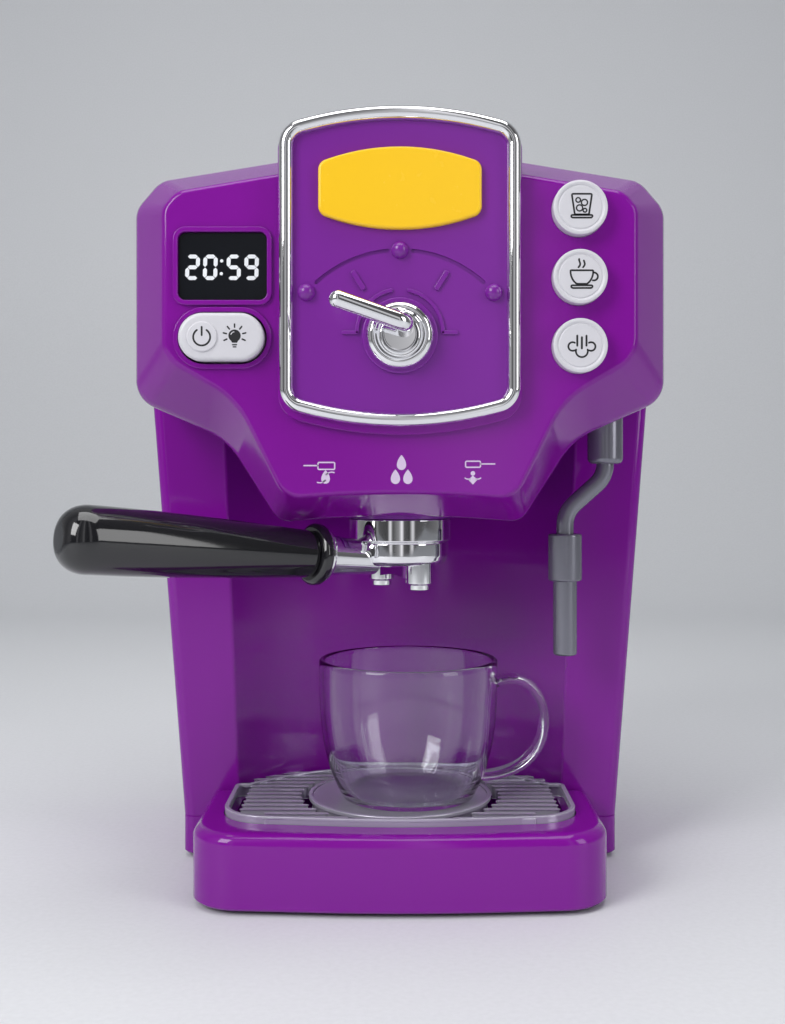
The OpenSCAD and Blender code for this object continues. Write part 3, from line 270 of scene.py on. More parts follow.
GREY = moulded("satin_grey", (0.24, 0.24, 0.28), (0.21, 0.21, 0.25), rough=(0.20, 0.28), grain=0.10, metal=0.6)
SILVER = moulded("silver_grey", (0.58, 0.55, 0.64), (0.53, 0.51, 0.60), rough=(0.20, 0.28), grain=0.12, metal=0.45)
RUBBER = moulded("rubber", (0.02, 0.02, 0.02), (0.014, 0.014, 0.014), rough=(0.7, 0.85), grain=0.3, specular=0.2)
BOARD = moulded("board", (0.02, 0.13, 0.05), (0.015, 0.10, 0.04), rough=(0.4, 0.5))
STEEL = plated("screw_steel", (0.55, 0.55, 0.57), rough=(0.2, 0.3))
CLEAR = clear("clear_plastic")
INK = printed("black_ink", (0.012, 0.012, 0.014))
DIGIT = printed("white_ink", (0.90, 0.92, 0.95))
LILAC = printed("lilac_ink", (0.74, 0.60, 0.82))

# ---------------------------------------------------------------- mesh helpers

# Turns an axis along Z towards the viewer, and away
OUT = Matrix.Rotation(radians(90), 4, "X")
IN = Matrix.Rotation(radians(-90), 4, "X")


def finished(obj, mat, body, node=None, angle=32, weighted=True):
    """Shades a piece, gives it its finish and hangs it on its body."""
    obj.data.materials.clear()
    obj.data.materials.append(mat)
    obj.data.shade_smooth()
    obj.data.set_sharp_from_angle(angle=radians(angle))
    if weighted:
        mod = obj.modifiers.new("normals", "WEIGHTED_NORMAL")
        mod.keep_sharp = True
        mod.weight = 60
    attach(obj, body)
    if node:
        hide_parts(*([node] if isinstance(node, str) else node))
    return obj


def placed(name, data):
    """A new object for a mesh, curve, lamp or camera, in the scene."""
    obj = bpy.data.objects.new(name, data)
    bpy.context.scene.collection.objects.link(obj)
    return obj


def new_object(name, verts, faces):
    mesh = bpy.data.meshes.new(name)
    mesh.from_pydata([tuple(v * MM for v in p) for p in verts], [], faces)
    mesh.validate()
    bm = bmesh.new()
    bm.from_mesh(mesh)
    bmesh.ops.remove_doubles(bm, verts=bm.verts, dist=1e-7)
    bmesh.ops.recalc_face_normals(bm, faces=bm.faces)
    bm.to_mesh(mesh)
    bm.free()
    return placed(name, mesh)


def loft(name, rings, closed=False):
    """A skin of quads over rings with equal numbers of points."""
    n, m = len(rings[0]), len(rings)
    verts = [tuple(p) for ring in rings for p in ring]
    faces = []
    for k in range(m if closed else m - 1):
        above = (k + 1) % m
        for i in range(n):
            j = (i + 1) % n
            faces.append((k * n + i, k * n + j, above * n + j, above * n + i))
    if not closed:
        faces.append(tuple(range(n - 1, -1, -1)))
        faces.append(tuple((m - 1) * n + i for i in range(n)))
    return new_object(name, verts, faces)


def lathe(name, profile, origin=(0, 0, 0), turn=Matrix.Identity(4), segments=96):
    """A revolved piece: profile points (radius, height), the axis along +Z of turn, from origin."""
    rings = []
    place = Matrix.Translation(Vector(origin)) @ turn
    for r, h in profile:
        r = max(r, 1e-4)
        rings.append([place @ Vector((r * cos(2 * pi * i / segments),
                                      r * sin(2 * pi * i / segments), h)) for i in range(segments)])
    return loft(name, rings)


def fillet(points, radius, steps=6):
    """The same profile with each inner corner rounded by radius, or by what its edges leave."""
    out = [points[0]]
    for a, b, c in zip(points, points[1:], points[2:]):
        a, b, c = (np.array(p, float) for p in (a, b, c))
        la, lc = np.linalg.norm(a - b), np.linalg.norm(c - b)
        d = min(radius, la * 0.48, lc * 0.48)
        if d < 1e-6:
            out.append(tuple(b))
            continue
        p, q = b + (a - b) / la * d, b + (c - b) / lc * d
        out += [tuple((1 - u) ** 2 * p + 2 * u * (1 - u) * b + u * u * q) for u in np.linspace(0, 1, steps)]
    out.append(points[-1])
    return out


def tube(name, points, radius, resolution=24):
    """A round bar along a smooth path of points."""
    curve = bpy.data.curves.new(name, "CURVE")
    curve.dimensions = "3D"
    curve.bevel_depth = radius * MM
    curve.bevel_resolution = resolution // 4
    curve.use_fill_caps = True
    spline = curve.splines.new("POLY")
    spline.points.add(len(points) - 1)
    for p, q in zip(spline.points, points):
        p.co = (*(v * MM for v in q), 1)
    return as_mesh(name, curve)


def as_mesh(name, curve):
    """The curve's own surface as a mesh object; the curve is used up."""
    temp = placed(name + "_curve", curve)
    bpy.context.view_layer.update()
    mesh = bpy.data.meshes.new_from_object(temp.evaluated_get(bpy.context.evaluated_depsgraph_get()))
    bpy.data.objects.remove(temp)
    bpy.data.curves.remove(curve)
    bm = bmesh.new()
    bm.from_mesh(mesh)
    bmesh.ops.remove_doubles(bm, verts=bm.verts, dist=1e-7)
    bm.to_mesh(mesh)
    bm.free()
    mesh.name = name
    return placed(name, mesh)


def plate(name, outlines, thickness, edge, place):
    """A flat plate with rounded edges and holes: outlines in its own plane, front face at z = 0, then set by place."""
    curve = bpy.data.curves.new(name, "CURVE")
    curve.dimensions = "2D"
    curve.fill_mode = "BOTH"
    curve.extrude = (thickness / 2 - edge) * MM
    curve.bevel_depth = edge * MM
    curve.bevel_resolution = 3
    curve.offset = -edge * MM
    for outline in outlines:
        spline = curve.splines.new("POLY")
        spline.points.add(len(outline) - 1)
        for p, q in zip(spline.points, outline):
            p.co = (q[0] * MM, q[1] * MM, 0, 1)
        spline.use_cyclic_u = True
    obj = as_mesh(name, curve)
    obj.data.transform(place @ Matrix.Translation((0, 0, -thickness / 2 * MM)))
    return obj


def facing(front):
    """Where a plate drawn in X and Z faces the viewer, its front at y = -front."""
    return Matrix.Translation((0, -front * MM, 0)) @ OUT


def lying(top):
    """Where a plate drawn in X and Y lies flat, its top at z = top."""
    return Matrix.Translation((0, 0, top * MM))


def box_outline(x, z, w, h, r, n=8):
    c = [(x + w / 2, z - h / 2, r), (x + w / 2, z + h / 2, r), (x - w / 2, z + h / 2, r), (x - w / 2, z - h / 2, r)]
    return rounded(c, n)


def stadium(x, z, w, h, n=16):
    return box_outline(x, z, w, h, h / 2 - 0.01, n)


def circle(x, z, r, n=96):
    return np.array([(x + r * cos(2 * pi * k / n), z + r * sin(2 * pi * k / n)) for k in range(n)])


def joined(name, pieces):
    """Several meshes as one object."""
    bm = bmesh.new()
    for piece in pieces:
        piece.data.transform(piece.matrix_world)
        bm.from_mesh(piece.data)
        bpy.data.objects.remove(piece)
    mesh = bpy.data.meshes.new(name)
    bm.to_mesh(mesh)
    bm.free()
    return placed(name, mesh)


def carve(obj, cutters, operation="DIFFERENCE"):
    """A boolean with each cutter in turn; the cutters are used up."""
    for cutter in cutters:
        mod = obj.modifiers.new("cut", "BOOLEAN")
        mod.operation, mod.solver, mod.object = operation, "EXACT", cutter
        bpy.context.view_layer.update()
        mesh = bpy.data.meshes.new_from_object(obj.evaluated_get(bpy.context.evaluated_depsgraph_get()))
        obj.modifiers.clear()
        obj.data = mesh
        bpy.data.objects.remove(cutter)
    return obj


def rod_y(name, x, z, r, front, back, segments=96):
    """A cylinder along Y from y = -front to y = -back."""
    return lathe(name, [(0, 0), (r, 0), (r, front - back), (0, front - back)], (x, -back, z), OUT, segments)


def block(name, low, high):
    (a, b, c), (d, e, f) = low, high
    return loft(name, [[(a, b, c), (d, b, c), (d, e, c), (a, e, c)], [(a, b, f), (d, b, f), (d, e, f), (a, e, f)]])


def prism_y(name, outline, front, back):
    return loft(name, [upright(outline, -front), upright(outline, -back)])


def in_column(z0, z1, d):
    return [level(rounded(inset(column_corners(z), d)), z) for z in (z0, z1)]


def head_prism(name, d, front, back):
    o = rounded(inset(HEAD, d))
    return loft(name, [upright(o, -front), upright(o, -back)])


# ---------------------------------------------------------------- base, grille

def tray():
    c = tray_corners()
    rings = [level(rounded(inset(c, TRAY_EDGE * (1 - cos(a)))), TRAY_TOP - TRAY_EDGE + TRAY_EDGE * sin(a))
             for a in np.linspace(pi / 2, 0, 10)]
    rings += [level(rounded(inset(c, 0)), FOOT_GAP + 0.8), level(rounded(inset(c, 0.8)), FOOT_GAP)]
    body = loft("base_tray", rings[::-1])
    plinth = both_sides([(82, -11, 4.5), (82, 74, 16)])
    back = loft("base_back", [level(rounded(inset(plinth, 0.8)), FOOT_GAP), level(rounded(plinth), FOOT_GAP + 0.8),
                              level(rounded(plinth), PLINTH_TOP - 0.5),
                              level(rounded(inset(plinth, 0.4)), PLINTH_TOP)])
    carve(body, [back], "UNION")
    g = rounded(inset(grille_corners(), -0.4))
    pocket = loft("cut", [level(g, GRILLE_TOP - GRILLE_T), level(g, 60)])
    well = rounded(inset(grille_corners(), 3))
    deep = loft("cut", [level(well, PLINTH_TOP), level(well, 30)])
    keep_r, keep_h = GRILLE_HOLE_R - 0.4, CUP_Z - 0.1 - 10
    keep = lathe("keep", [(0, 0), (keep_r, 0), (keep_r, keep_h), (0, keep_h)], (0, -GROUP_Y, 10))
    carve(body, [pocket, deep])
    carve(body, [keep], "UNION")
    finished(body, PURPLE, "housing", "base_housing", angle=28)


def drip_grille():
    z0, rim_w, rim_h = GRILLE_TOP - GRILLE_T, 1.6, 0.6
    c = grille_corners()
    outlines = [rounded(c), circle(0, -GROUP_Y, GRILLE_HOLE_R, 128)]
    ring, outer = GRILLE_HOLE_R + 4.4, TRAY_HALF_W - 9 - 6
    for k in range(-6, 7):
        dy = k * SLOT_PITCH
        far = outer - (9 if k < -4 else 0)
        near = sqrt(max(ring ** 2 - dy ** 2, 36))
        if far - near > 2 * SLOT_W:
            for s in (-1, 1):
                outlines.append(stadium(s * (near + far) / 2, dy - GROUP_Y, far - near, SLOT_W, 10))
    deck = plate("grille_deck", outlines, GRILLE_T - rim_h, 0.35, lying(GRILLE_TOP - rim_h))
    rim = plate("grille_rim", [rounded(c), rounded(inset(c, rim_w))], 1.4, 0.3, lying(GRILLE_TOP))
    lip = plate("grille_lip",
                [circle(0, -GROUP_Y, GRILLE_HOLE_R + rim_w, 128), circle(0, -GROUP_Y, GRILLE_HOLE_R, 128)],
                1.4, 0.3, lying(GRILLE_TOP))
    finished(joined("drip_grille_smooth", [deck, rim, lip]), SILVER, "grille", "drip_grille", angle=40)


# ---------------------------------------------------------------- column, head

def screw_holes(z):
    return [rod_y("cut", s * SCREW_X, z, SCREW_HOLE_R, -BACK_Y + SCREW_HOLE_T, -BACK_Y - 1) for s in (-1, 1)]


def group_hole():
    hole = [(0, 0), (GROUP_HOLE_R, 0), (GROUP_HOLE_R, GROUP_HOLE_H), (0, GROUP_HOLE_H)]
    return lathe("cut", hole, (0, -GROUP_Y, CHIN - 9))


def sound_holes():
    """The speaker's holes: one in the middle and two rings round it."""
    holes = []
    for q in (0, 1, 2):
        count = max(1, 6 * q)
        for k in range(count):
            a = 2 * pi * k / count
            x, z = SPEAKER_X + SOUND_PITCH * q * cos(a), SPEAKER_Z + SOUND_PITCH * q * sin(a)
            holes.append(rod_y("cut", x, z, SOUND_HOLE_R, -BACK_Y + 9, -BACK_Y - 9, 24))
    return holes


def column():
    shell = loft("column_smooth", in_column(PLINTH_TOP, SIDE_FOOT, 0))
    inner = loft("cut", in_column(PLINTH_TOP + WALL, SIDE_FOOT + 9, WALL))
    carve(shell, [inner])
    room = head_prism("cut", 1.0, SEAM_Y, -BACK_Y - 1)
    carve(room, [block("cut", (-150, -150, SHELF_Z), (150, 150, 400))], "INTERSECT")
    carve(shell, [room])
    rear = placed("column_rear_smooth", shell.data.copy())
    shell.name = "column_front_smooth"
    carve(shell, [block("cut", (-150, COLUMN_SEAM_Y, 0), (150, 200, 400))])
    carve(rear, [block("cut", (-150, -200, 0), (150, COLUMN_SEAM_Y + SHELL_GAP, 400))])
    door = box_outline(0, DOOR_Z, DOOR_W, DOOR_H, 3)
    carve(rear, [prism_y("cut", door, -BACK_Y + DOOR_T, -BACK_Y - 1)] + screw_holes(SCREW_LOW))
    finished(shell, PURPLE, "housing", "column_front", angle=28)
    finished(rear, PURPLE, "housing", "column_rear", angle=28)


def head_skin():
    face, rim = rounded(FACE), rounded(HEAD)

    def mid(t, y):
        return upright(face + (rim - face) * t, y)

    start = [upright(rounded(inset(FACE, d)), -FACE_Y) for d in (1.2, 0.1)]
    rings = bend(*start, mid(0.06, -69.5), 5)
    rings += bend(mid(0.88, -49), mid(1, -46), upright(rim, -43.4), 6)
    rings += [upright(rim, -SEAM_Y - 0.4), upright(rounded(inset(HEAD, 0.4)), -SEAM_Y)]
    inner = rounded(inset(HEAD, WALL))
    rings += [upright(inner, -SEAM_Y), upright(inner, 1.2 - RIM_Y),
              upright(rounded(inset(FACE, WALL)), WALL - FACE_Y)]
    return rings


def crown_corners(lower):
    """The raised boss that carries the dial; lower drops its top edge towards the back."""
    w = FRAME_HALF_W + 0.4
    return both_sides([(0, FRAME_Z - FRAME_HALF_H - 12.7, 121), (w, FRAME_Z - FRAME_HALF_H - 2.3, 9),
                       (w, FRAME_Z + FRAME_HALF_H - 0.3 - lower, 9), (0, FRAME_Z + FRAME_HALF_H + 10 - lower, 121)])


def head():
    front = loft("head_front_smooth", head_skin())
    boss = loft("boss", [upright(rounded(inset(crown_corners(0), 0.35)), -FACE_Y - BOSS),
                         upright(rounded(crown_corners(0.2)), -FACE_Y - BOSS + 0.35),
                         upright(rounded(crown_corners(13)), 24 - FACE_Y)])
    inner = rounded(inset(HEAD, 1.2))
    core = loft("cut", [upright(rounded(inset(FACE, 1.2)), 1.2 - FACE_Y), upright(inner, 0.6 - RIM_Y),
                        upright(inner, -SEAM_Y)])
    carve(boss, [core])
    carve(front, [boss], "UNION")
    cuts = [prism_y("cut", box_outline(-LEFT_X, DISPLAY_Z, DISPLAY_W, DISPLAY_H, 2.5), FACE_Y + 9, FACE_Y - 1.9),
            prism_y("cut", box_outline(-LEFT_X, DISPLAY_Z, DISPLAY_W - 3, DISPLAY_H - 3, 1), FACE_Y + 9, FACE_Y - 9),
            prism_y("cut", stadium(-LEFT_X, KEY_Z, KEY_W + 2 * KEY_GAP, KEY_H + 2 * KEY_GAP), FACE_Y + 9, FACE_Y - 9),
            rod_y("cut", 0, KNOB_Z, 3.1, FACE_Y + 9, FACE_Y - 9),
            group_hole(),
            lathe("cut", [(0, 0), (6.45, 0), (6.45, SOCKET_H), (0, SOCKET_H)], (WAND_X, -WAND_Y, SOCKET_Z))]
    cuts += [rod_y("cut", BUTTON_X, BUTTON_Z + k * BUTTON_PITCH, BUTTON_R + 0.1, FACE_Y + 9, FACE_Y - 9)
             for k in (-1, 0, 1)]
    carve(front, cuts)
    finished(front, PURPLE, "housing", "head_front", angle=28)
    rim = 1.7
    wide, tall, gap = KEY_W + 2 * KEY_GAP, KEY_H + 2 * KEY_GAP, KEY_GAP + rim
    bezels = {
        "display_bezel": [box_outline(-LEFT_X, DISPLAY_Z, DISPLAY_W + 2 * rim, DISPLAY_H + 2 * rim, 2.5 + rim),
                          box_outline(-LEFT_X, DISPLAY_Z, DISPLAY_W, DISPLAY_H, 2.5)],
        "key_bezel": [stadium(-LEFT_X, KEY_Z, KEY_W + 2 * gap, KEY_H + 2 * gap), stadium(-LEFT_X, KEY_Z, wide, tall)],
    }
    for name, outlines in bezels.items():
        ring = plate(name, outlines, 2.0, 0.4, facing(FACE_Y + 1.2))
        finished(ring, PURPLE, "housing", angle=40)

    def ring(d, e, y):
        return upright(rounded(inset(HEAD, 1.2 + d + e)), y)

    def bowl(d, back):
        return [ring(d, 6 * (1 - cos(a)), back - 6 + 6 * sin(a)) for a in np.linspace(0, pi / 2, 9)]

    edge = [ring(WALL, 0, SHELL_GAP - SEAM_Y), ring(0.4, 0, SHELL_GAP - SEAM_Y), ring(0, 0, 0.5 - SEAM_Y)]
    rear = loft("head_rear_smooth", bowl(WALL, BACK_Y - WALL)[::-1] + edge + bowl(0, BACK_Y))
    below = loft("cut", in_column(CHIN - 20, SIDE_FOOT + 1.5, -0.2))
    carve(below, [block("cut", (-150, -150, SHELF_Z - 0.1), (150, 150, 400))])
    carve(rear, [below, group_hole()] + screw_holes(SCREW_HIGH) + sound_holes())
    finished(rear, PURPLE, "housing", "head_rear", angle=28)


# ---------------------------------------------------------------- panel, frame, plate, display

def arc_strip(x, z, r, w, a0, a1, n=40):
    """A strip along an arc, with round ends; angles in degrees."""
    a0, a1 = radians(a0), radians(a1)
    out = [(x + (r + w / 2) * cos(a), z + (r + w / 2) * sin(a)) for a in np.linspace(a0, a1, n)]

    def tip(a, side):
        """The round end at angle a; side is 1 for the far end and -1 for the near one."""
        cx, cz = x + r * cos(a), z + r * sin(a)
        turns = [a + b for b in np.linspace(0, pi, 8)[1:-1]]
        return [(cx + side * w / 2 * cos(t), cz + side * w / 2 * sin(t)) for t in turns]

    out += tip(a1, 1)
    out += [(x + (r - w / 2) * cos(a), z + (r - w / 2) * sin(a)) for a in np.linspace(a1, a0, n)]
    out += tip(a0, -1)
    return out


def turned_box(x, z, w, h, r, angle):
    a = radians(angle)
    return [(x + px * cos(a) - pz * sin(a), z + px * sin(a) + pz * cos(a)) for px,
            pz in box_outline(0, 0, w, h, r, 5)]


def dial_panel():
    front = FACE_Y + PANEL
    panel = prism_y("dial_panel_smooth", rounded(inset(FRAME, FRAME_BAR + 0.1)), front, FACE_Y + BOSS)
    gauge = (0, KNOB_Z - 12.8)
    cuts = [prism_y("cut", arc_strip(*gauge, GAUGE_R, 1.3, a0, a1), front + 1, front - 0.8) for a0,
            a1 in ((48, 84), (96, 132))]
    cuts.append(rod_y("cut", 0, KNOB_Z, 3.08, front + 9, FACE_Y - 9))
    carve(panel, cuts)
    reliefs = []
    for a0, a1 in ((0, 78), (102, 180)):
        reliefs.append(plate("r", [arc_strip(0, KNOB_Z + 1, 14, 1.3, a0, a1)], 1.8, 0.3, facing(front + 0.9)))
    for s in (-1, 1):
        reliefs.append(plate("r", [box_outline(s * 16.2, KNOB_Z + 1, 5.6, 1.3, 0.5, 4)], 1.8, 0.3,
                             facing(front + 0.9)))
        reliefs.append(plate("r", [turned_box(s * 13.6, KNOB_Z + 18, 7.3, 1.8, 0.7, s * 58)], 1.8, 0.3,
                             facing(front + 0.9)))
    for a in (41.4, 90, 138.6):
        x, z = GAUGE_R * cos(radians(a)), gauge[1] + GAUGE_R * sin(radians(a))
        dome = [(2.9 * cos(b), 2.9 * sin(b)) for b in np.linspace(-0.3, pi / 2 - 0.02, 14)]
        reliefs.append(lathe("r", [(0, -1)] + dome, (x, -front, z), OUT, 48))
    seat = [(3.1, -1)] + fillet([(12.4, -1), (12.4, 1.4), (3.1, 1.4)], 0.6) + [(3.1, -1)]
    reliefs.append(lathe("r", seat, (0, -front, KNOB_Z), OUT))
    whole = joined("dial_panel_whole", [panel] + reliefs)
    finished(whole, PANEL_PURPLE, "housing", "dial_panel", angle=40)


def chrome_frame():
    seat, front, w = FACE_Y + BOSS + 0.05, FACE_Y + FRAME_FRONT, FRAME_BAR
    profile = [(0, seat), (0, front - 2.6)]
    profile += [(w / 2 * (1 - cos(a)), front - 2.6 + 2.6 * sin(a)) for a in np.linspace(0, pi, 22)[1:-1]]
    profile += [(w, front - 2.6), (w, seat)]
    rings = [upright(rounded(inset(FRAME, e + 0.09), 24), -y) for e, y in profile]
    finished(loft("chrome_frame_smooth", rings, closed=True), CHROME, "housing", "chrome_frame",
             angle=50)


def name_plate():
    z, front = FRAME_Z + 25.35, FACE_Y + PANEL
    c = both_sides([(0, z - 17.6, 71), (26.6, z - 8.4, 3.5), (26.6, z + 8.4, 3.5), (0, z + 17.6, 71)])
    rings = [upright(rounded(inset(c, 1 - cos(a))), -(front + 1.2 + sin(a))) for a in np.linspace(pi / 2, 0, 7)]
    rings.append(upright(rounded(c), -(front + 0.02)))
    finished(loft("name_plate_smooth", rings), YELLOW, "housing", "name_plate", angle=40)


SEGMENTS = {"2": "abged", "0": "abcdef", "5": "afgcd", "9": "abcdfg"}


def digits():
    """Seven-segment digits with mitred ends, drawn on the window."""
    w, h, t, gap, slant = 4.1, 7.1, 1.3, 0.1, 0.03
    front = FACE_Y - 0.3 + 0.05
    shapes = []

    def bar(x, z, length, upright_bar):
        half, k = length / 2 - gap, t / 2
        pts = [(-half, 0), (-half + k, -k), (half - k, -k), (half, 0), (half - k, k), (-half + k, k)]
        return [(x - b, z + a) if upright_bar else (x + a, z + b) for a, b in pts]

    left = -LEFT_X - 12.3
    for i, ch in enumerate("2059"):
        x0 = left + i * 5.83 + (1.9 if i > 1 else 0) + t / 2
        x1, z0 = x0 + w - t / 2, DISPLAY_Z - 0.3 - h / 2
        zm, z1 = z0 + h / 2, z0 + h
        place = {"a": (x0, x1, z1), "g": (x0, x1, zm), "d": (x0, x1, z0), "f": (x0, zm, z1), "b": (x1, zm, z1),
                 "e": (x0, z0, zm), "c": (x1, z0, zm)}
        for s in SEGMENTS[ch]:
            p = place[s]
            shapes.append(bar((p[0] + p[1]) / 2, p[2], p[1] - p[0], False)
                          if s in "agd" else bar(p[0], (p[1] + p[2]) / 2, p[2] - p[1], True))
    for z in (DISPLAY_Z - 2.4, DISPLAY_Z + 1.8):
        shapes.append([tuple(q) for q in circle(left + 11.9, z, 0.55, 24)])
    shapes = [[(x + slant * (z - DISPLAY_Z), z) for x, z in s] for s in shapes]
    marks = plate("clock_digits", shapes, 0.06, 0.0, facing(front))
    finished(marks, DIGIT, "housing", angle=40, weighted=False)
    window = plate("display_window_smooth", [box_outline(-LEFT_X, DISPLAY_Z, DISPLAY_W - 0.2, DISPLAY_H - 0.2, 2.4)],
                   1.4, 0.15, facing(FACE_Y - 0.3))
    finished(window, BLACK_WINDOW, "housing", "display_window", angle=40)


# ---------------------------------------------------------------- keys and knob

def stroke(points, w, n=8):
    """The outline of a drawn line with round ends."""
    p = [np.array(q, float) for q in points]
    left, right = [], []
    for i, q in enumerate(p):
        d = unit(p[min(i + 1, len(p) - 1)] - p[max(i - 1, 0)])
        s = np.array([-d[1], d[0]]) * w / 2
        left.append(q + s)
        right.append(q - s)

    def tip(c, start):
        return [c + np.array(Matrix.Rotation(-b, 2) @ Vector(start)) for b in np.linspace(0, pi, n)[1:-1]]

    return [tuple(q) for q in left + tip(p[-1], left[-1] - p[-1]) + right[::-1] + tip(p[0], right[0] - p[0])]


def arc(x, z, r, a0, a1, n=24, ry=None):
    return [(x + r * cos(radians(a)), z + (ry or r) * sin(radians(a))) for a in np.linspace(a0, a1, n)]


def ink(name, shapes, front, mat, body):
    """Printed marks: every shape is a list of outlines, and stands 0.04 mm off the surface."""
    parts = [plate("mark", [list(map(tuple, o)) for o in shape], 0.08, 0.0, facing(front + 0.04)) for shape in shapes]
    finished(joined(name, parts), mat, body, angle=40, weighted=False)


def closed_stroke(points, w):
    """A drawn closed line: its outer and its inner outline."""
    p = [np.array(q, float) for q in points]
    m = len(p)
    out = []
    for s in (-1, 1):
        ring = []
        for i in range(m):
            d = unit(p[(i + 1) % m] - p[i - 1])
            ring.append(p[i] + s * np.array([-d[1], d[0]]) * w / 2)
        out.append(ring)
    return out


def round_buttons():
    front = FACE_Y + BUTTON_PROUD
    profile = [(0, 0.3)] + fillet([(5.9, 0.3), (6.9, 0.32), (7.15, 0.62), (7.45, 0.3), (8.0, 0.0), (8.9, 0.25),
                                   (8.9, 12.0)], 0.32) + [(10.2, 12.0), (10.2, 13.4), (3, 13.4), (3, 15.8), (0, 15.8)]
    t = 0.58
    for k, name in ((1, "iced"), (0, "coffee"), (-1, "steam")):
        z = BUTTON_Z + k * BUTTON_PITCH
        obj = lathe(name + "_button_smooth", profile, (BUTTON_X, -front, z), IN)
        finished(obj, WHITE, name + "_button", name + "_button", angle=50)
        x = BUTTON_X + 0.4
        if name == "iced":
            glass = box_path([(-2.3, -2.4), (2.3, -2.4), (3.3, 4.3), (-3.3, 4.3)], 0.35, x, z)
            shapes = [closed_stroke(glass, t), closed_stroke(saucer(x, z - 3.0, 4.0), t)]
            shapes += [closed_stroke(arc(x + a, z + b, r, 0, 345, 24), t * 0.8) for a, b,
                       r in ((-1.2, 2.3, 0.75), (0.85, 1.5, 1.0), (-0.75, -0.3, 1.0), (1.0, -1.05, 0.6))]
        elif name == "coffee":
            bowl = [(x - 3.7, z + 1.9), (x + 3.7, z + 1.9)] + arc(x, z + 1.7, 3.7, 0, -180, 24, 4.7)
            bowl = [(px, max(pz, z - 2.5)) for px, pz in bowl]
            shapes = [closed_stroke(resample(bowl, 60), t), closed_stroke(saucer(x, z - 3.4, 4.0), t),
                      [stroke(arc(x + 3.9, z - 0.1, 1.3, 95, -105, 20), t)]]
            shapes += [[stroke([(x + a + 0.35 * sin(u * 4.2) + 0.5 * u, z + 2.9 + 2.4 * u)
                                for u in np.linspace(0, h, 16)], t)] for a, h in ((-1.1, 1.1), (0.4, 0.9))]
        else:
            shapes = [[stroke(arc(x, z - 1.9, 1.95, 165, 375, 28), t)],
                      [stroke(arc(x - 3.0, z - 0.4, 1.4, 60, 295, 28), t)],
                      [stroke(arc(x + 3.0, z - 0.4, 1.4, 120, -115, 28), t)]]
            shapes += [[stroke([(x + a, z + b), (x + a, z + c)], t * 1.1)] for a, b,
                       c in ((-1.5, -0.1, 3.1), (0, -1.0, 2.6), (1.5, -0.1, 3.1))]
        ink(name + "_mark", shapes, front - 0.3, INK, name + "_button")


def box_path(corners, r, x, z):
    return [(x + a, z + b) for a, b in resample(rounded([(*c, r) for c in corners], 6), 80)]


def saucer(x, z, half):
    return resample(rounded([(x - half + 0.9, z - 0.45, 0.3), (x + half - 0.9, z - 0.45, 0.3),
                             (x + half, z + 0.42, 0.35), (x - half, z + 0.42, 0.35)], 5), 60)


def resample(points, n):
    """n points evenly along a closed line."""
    p = np.array([tuple(q) for q in points] + [tuple(points[0])], float)
    d = np.concatenate([[0], np.cumsum(np.linalg.norm(np.diff(p, axis=0), axis=1))])
    s = np.linspace(0, d[-1], n, endpoint=False)
    return np.column_stack([np.interp(s, d, p[:, 0]), np.interp(s, d, p[:, 1])])


def power_key():
    front, h = FACE_Y + KEY_PROUD, KEY_H / 2
    c = [(-LEFT_X + KEY_W / 2, KEY_Z - h, h - 0.02), (-LEFT_X + KEY_W / 2, KEY_Z + h, h - 0.02),
         (-LEFT_X - KEY_W / 2, KEY_Z + h, h - 0.02), (-LEFT_X - KEY_W / 2, KEY_Z - h, h - 0.02)]
    rings = [upright(rounded(inset(c, 1.5 * (1 - cos(a)))), -(front - 1.3 + 1.3 * sin(a)))
             for a in np.linspace(pi / 2, 0, 9)]
    rings.append(upright(rounded(c), -64.2))
    key = loft("key_body", rings)
    pad = lathe("pad",
                [(0, -1), (5, -1)] + [(4.5 + 0.5 * cos(a), 0.1 + 0.5 * sin(a))
                                      for a in np.linspace(0, pi / 2, 6)] + [(0, 0.6)], (-LEFT_X - 6, -front, KEY_Z),
                OUT)
    pin = lathe("pin", [(0, 0), (1.2, 0), (1.2, 22.8), (0, 22.8)], (-LEFT_X, -66.2, KEY_Z - 11.4), segments=32)
    finished(joined("power_key_smooth", [key, pad, pin]), WHITE, "power_key", "power_key", angle=50)
    x = -LEFT_X - 6
    ink("power_mark", [[stroke(arc(x, KEY_Z - 0.2, 2.75, 125, 415, 40), 0.6)],
                       [stroke([(x, KEY_Z + 0.4), (x, KEY_Z + 3.1)], 0.6)]], front + 0.6, INK, "power_key")
    x, z = -LEFT_X + 4.6, KEY_Z - 0.1
    bulb = arc(x, z + 0.4, 2.0, -55, 235, 30) + [(x - 0.8, z - 1.9), (x + 0.8, z - 1.9)]
    shapes = [[bulb, stroke(arc(x, z + 0.4, 1.25, 100, 160, 10), 0.32)[::-1]],
              [stroke([(x - 0.65, z - 2.55), (x + 0.65, z - 2.55)], 0.42)],
              [stroke([(x - 0.45, z - 3.25), (x + 0.45, z - 3.25)], 0.42)]]
    for k in range(7):
        a = radians(-24 + 38 * k)
        shapes.append([stroke([(x + q * cos(a), z + 0.4 + q * sin(a)) for q in (2.75, 3.75)], 0.5)])
    ink("lamp_mark", shapes, front, INK, "power_key")


def drop(x, z, r, h):
    """A falling drop: its foot at z."""
    side = [(r * sin(a) * sin(a / 2) ** 0.9 * 1.3, h * 0.5 * (1 - cos(a))) for a in np.linspace(0, pi, 22)]
    return [(x + px, z + h - pz) for px, pz in side] + [(x - px, z + h - pz) for px, pz in side[::-1]][1:-1]


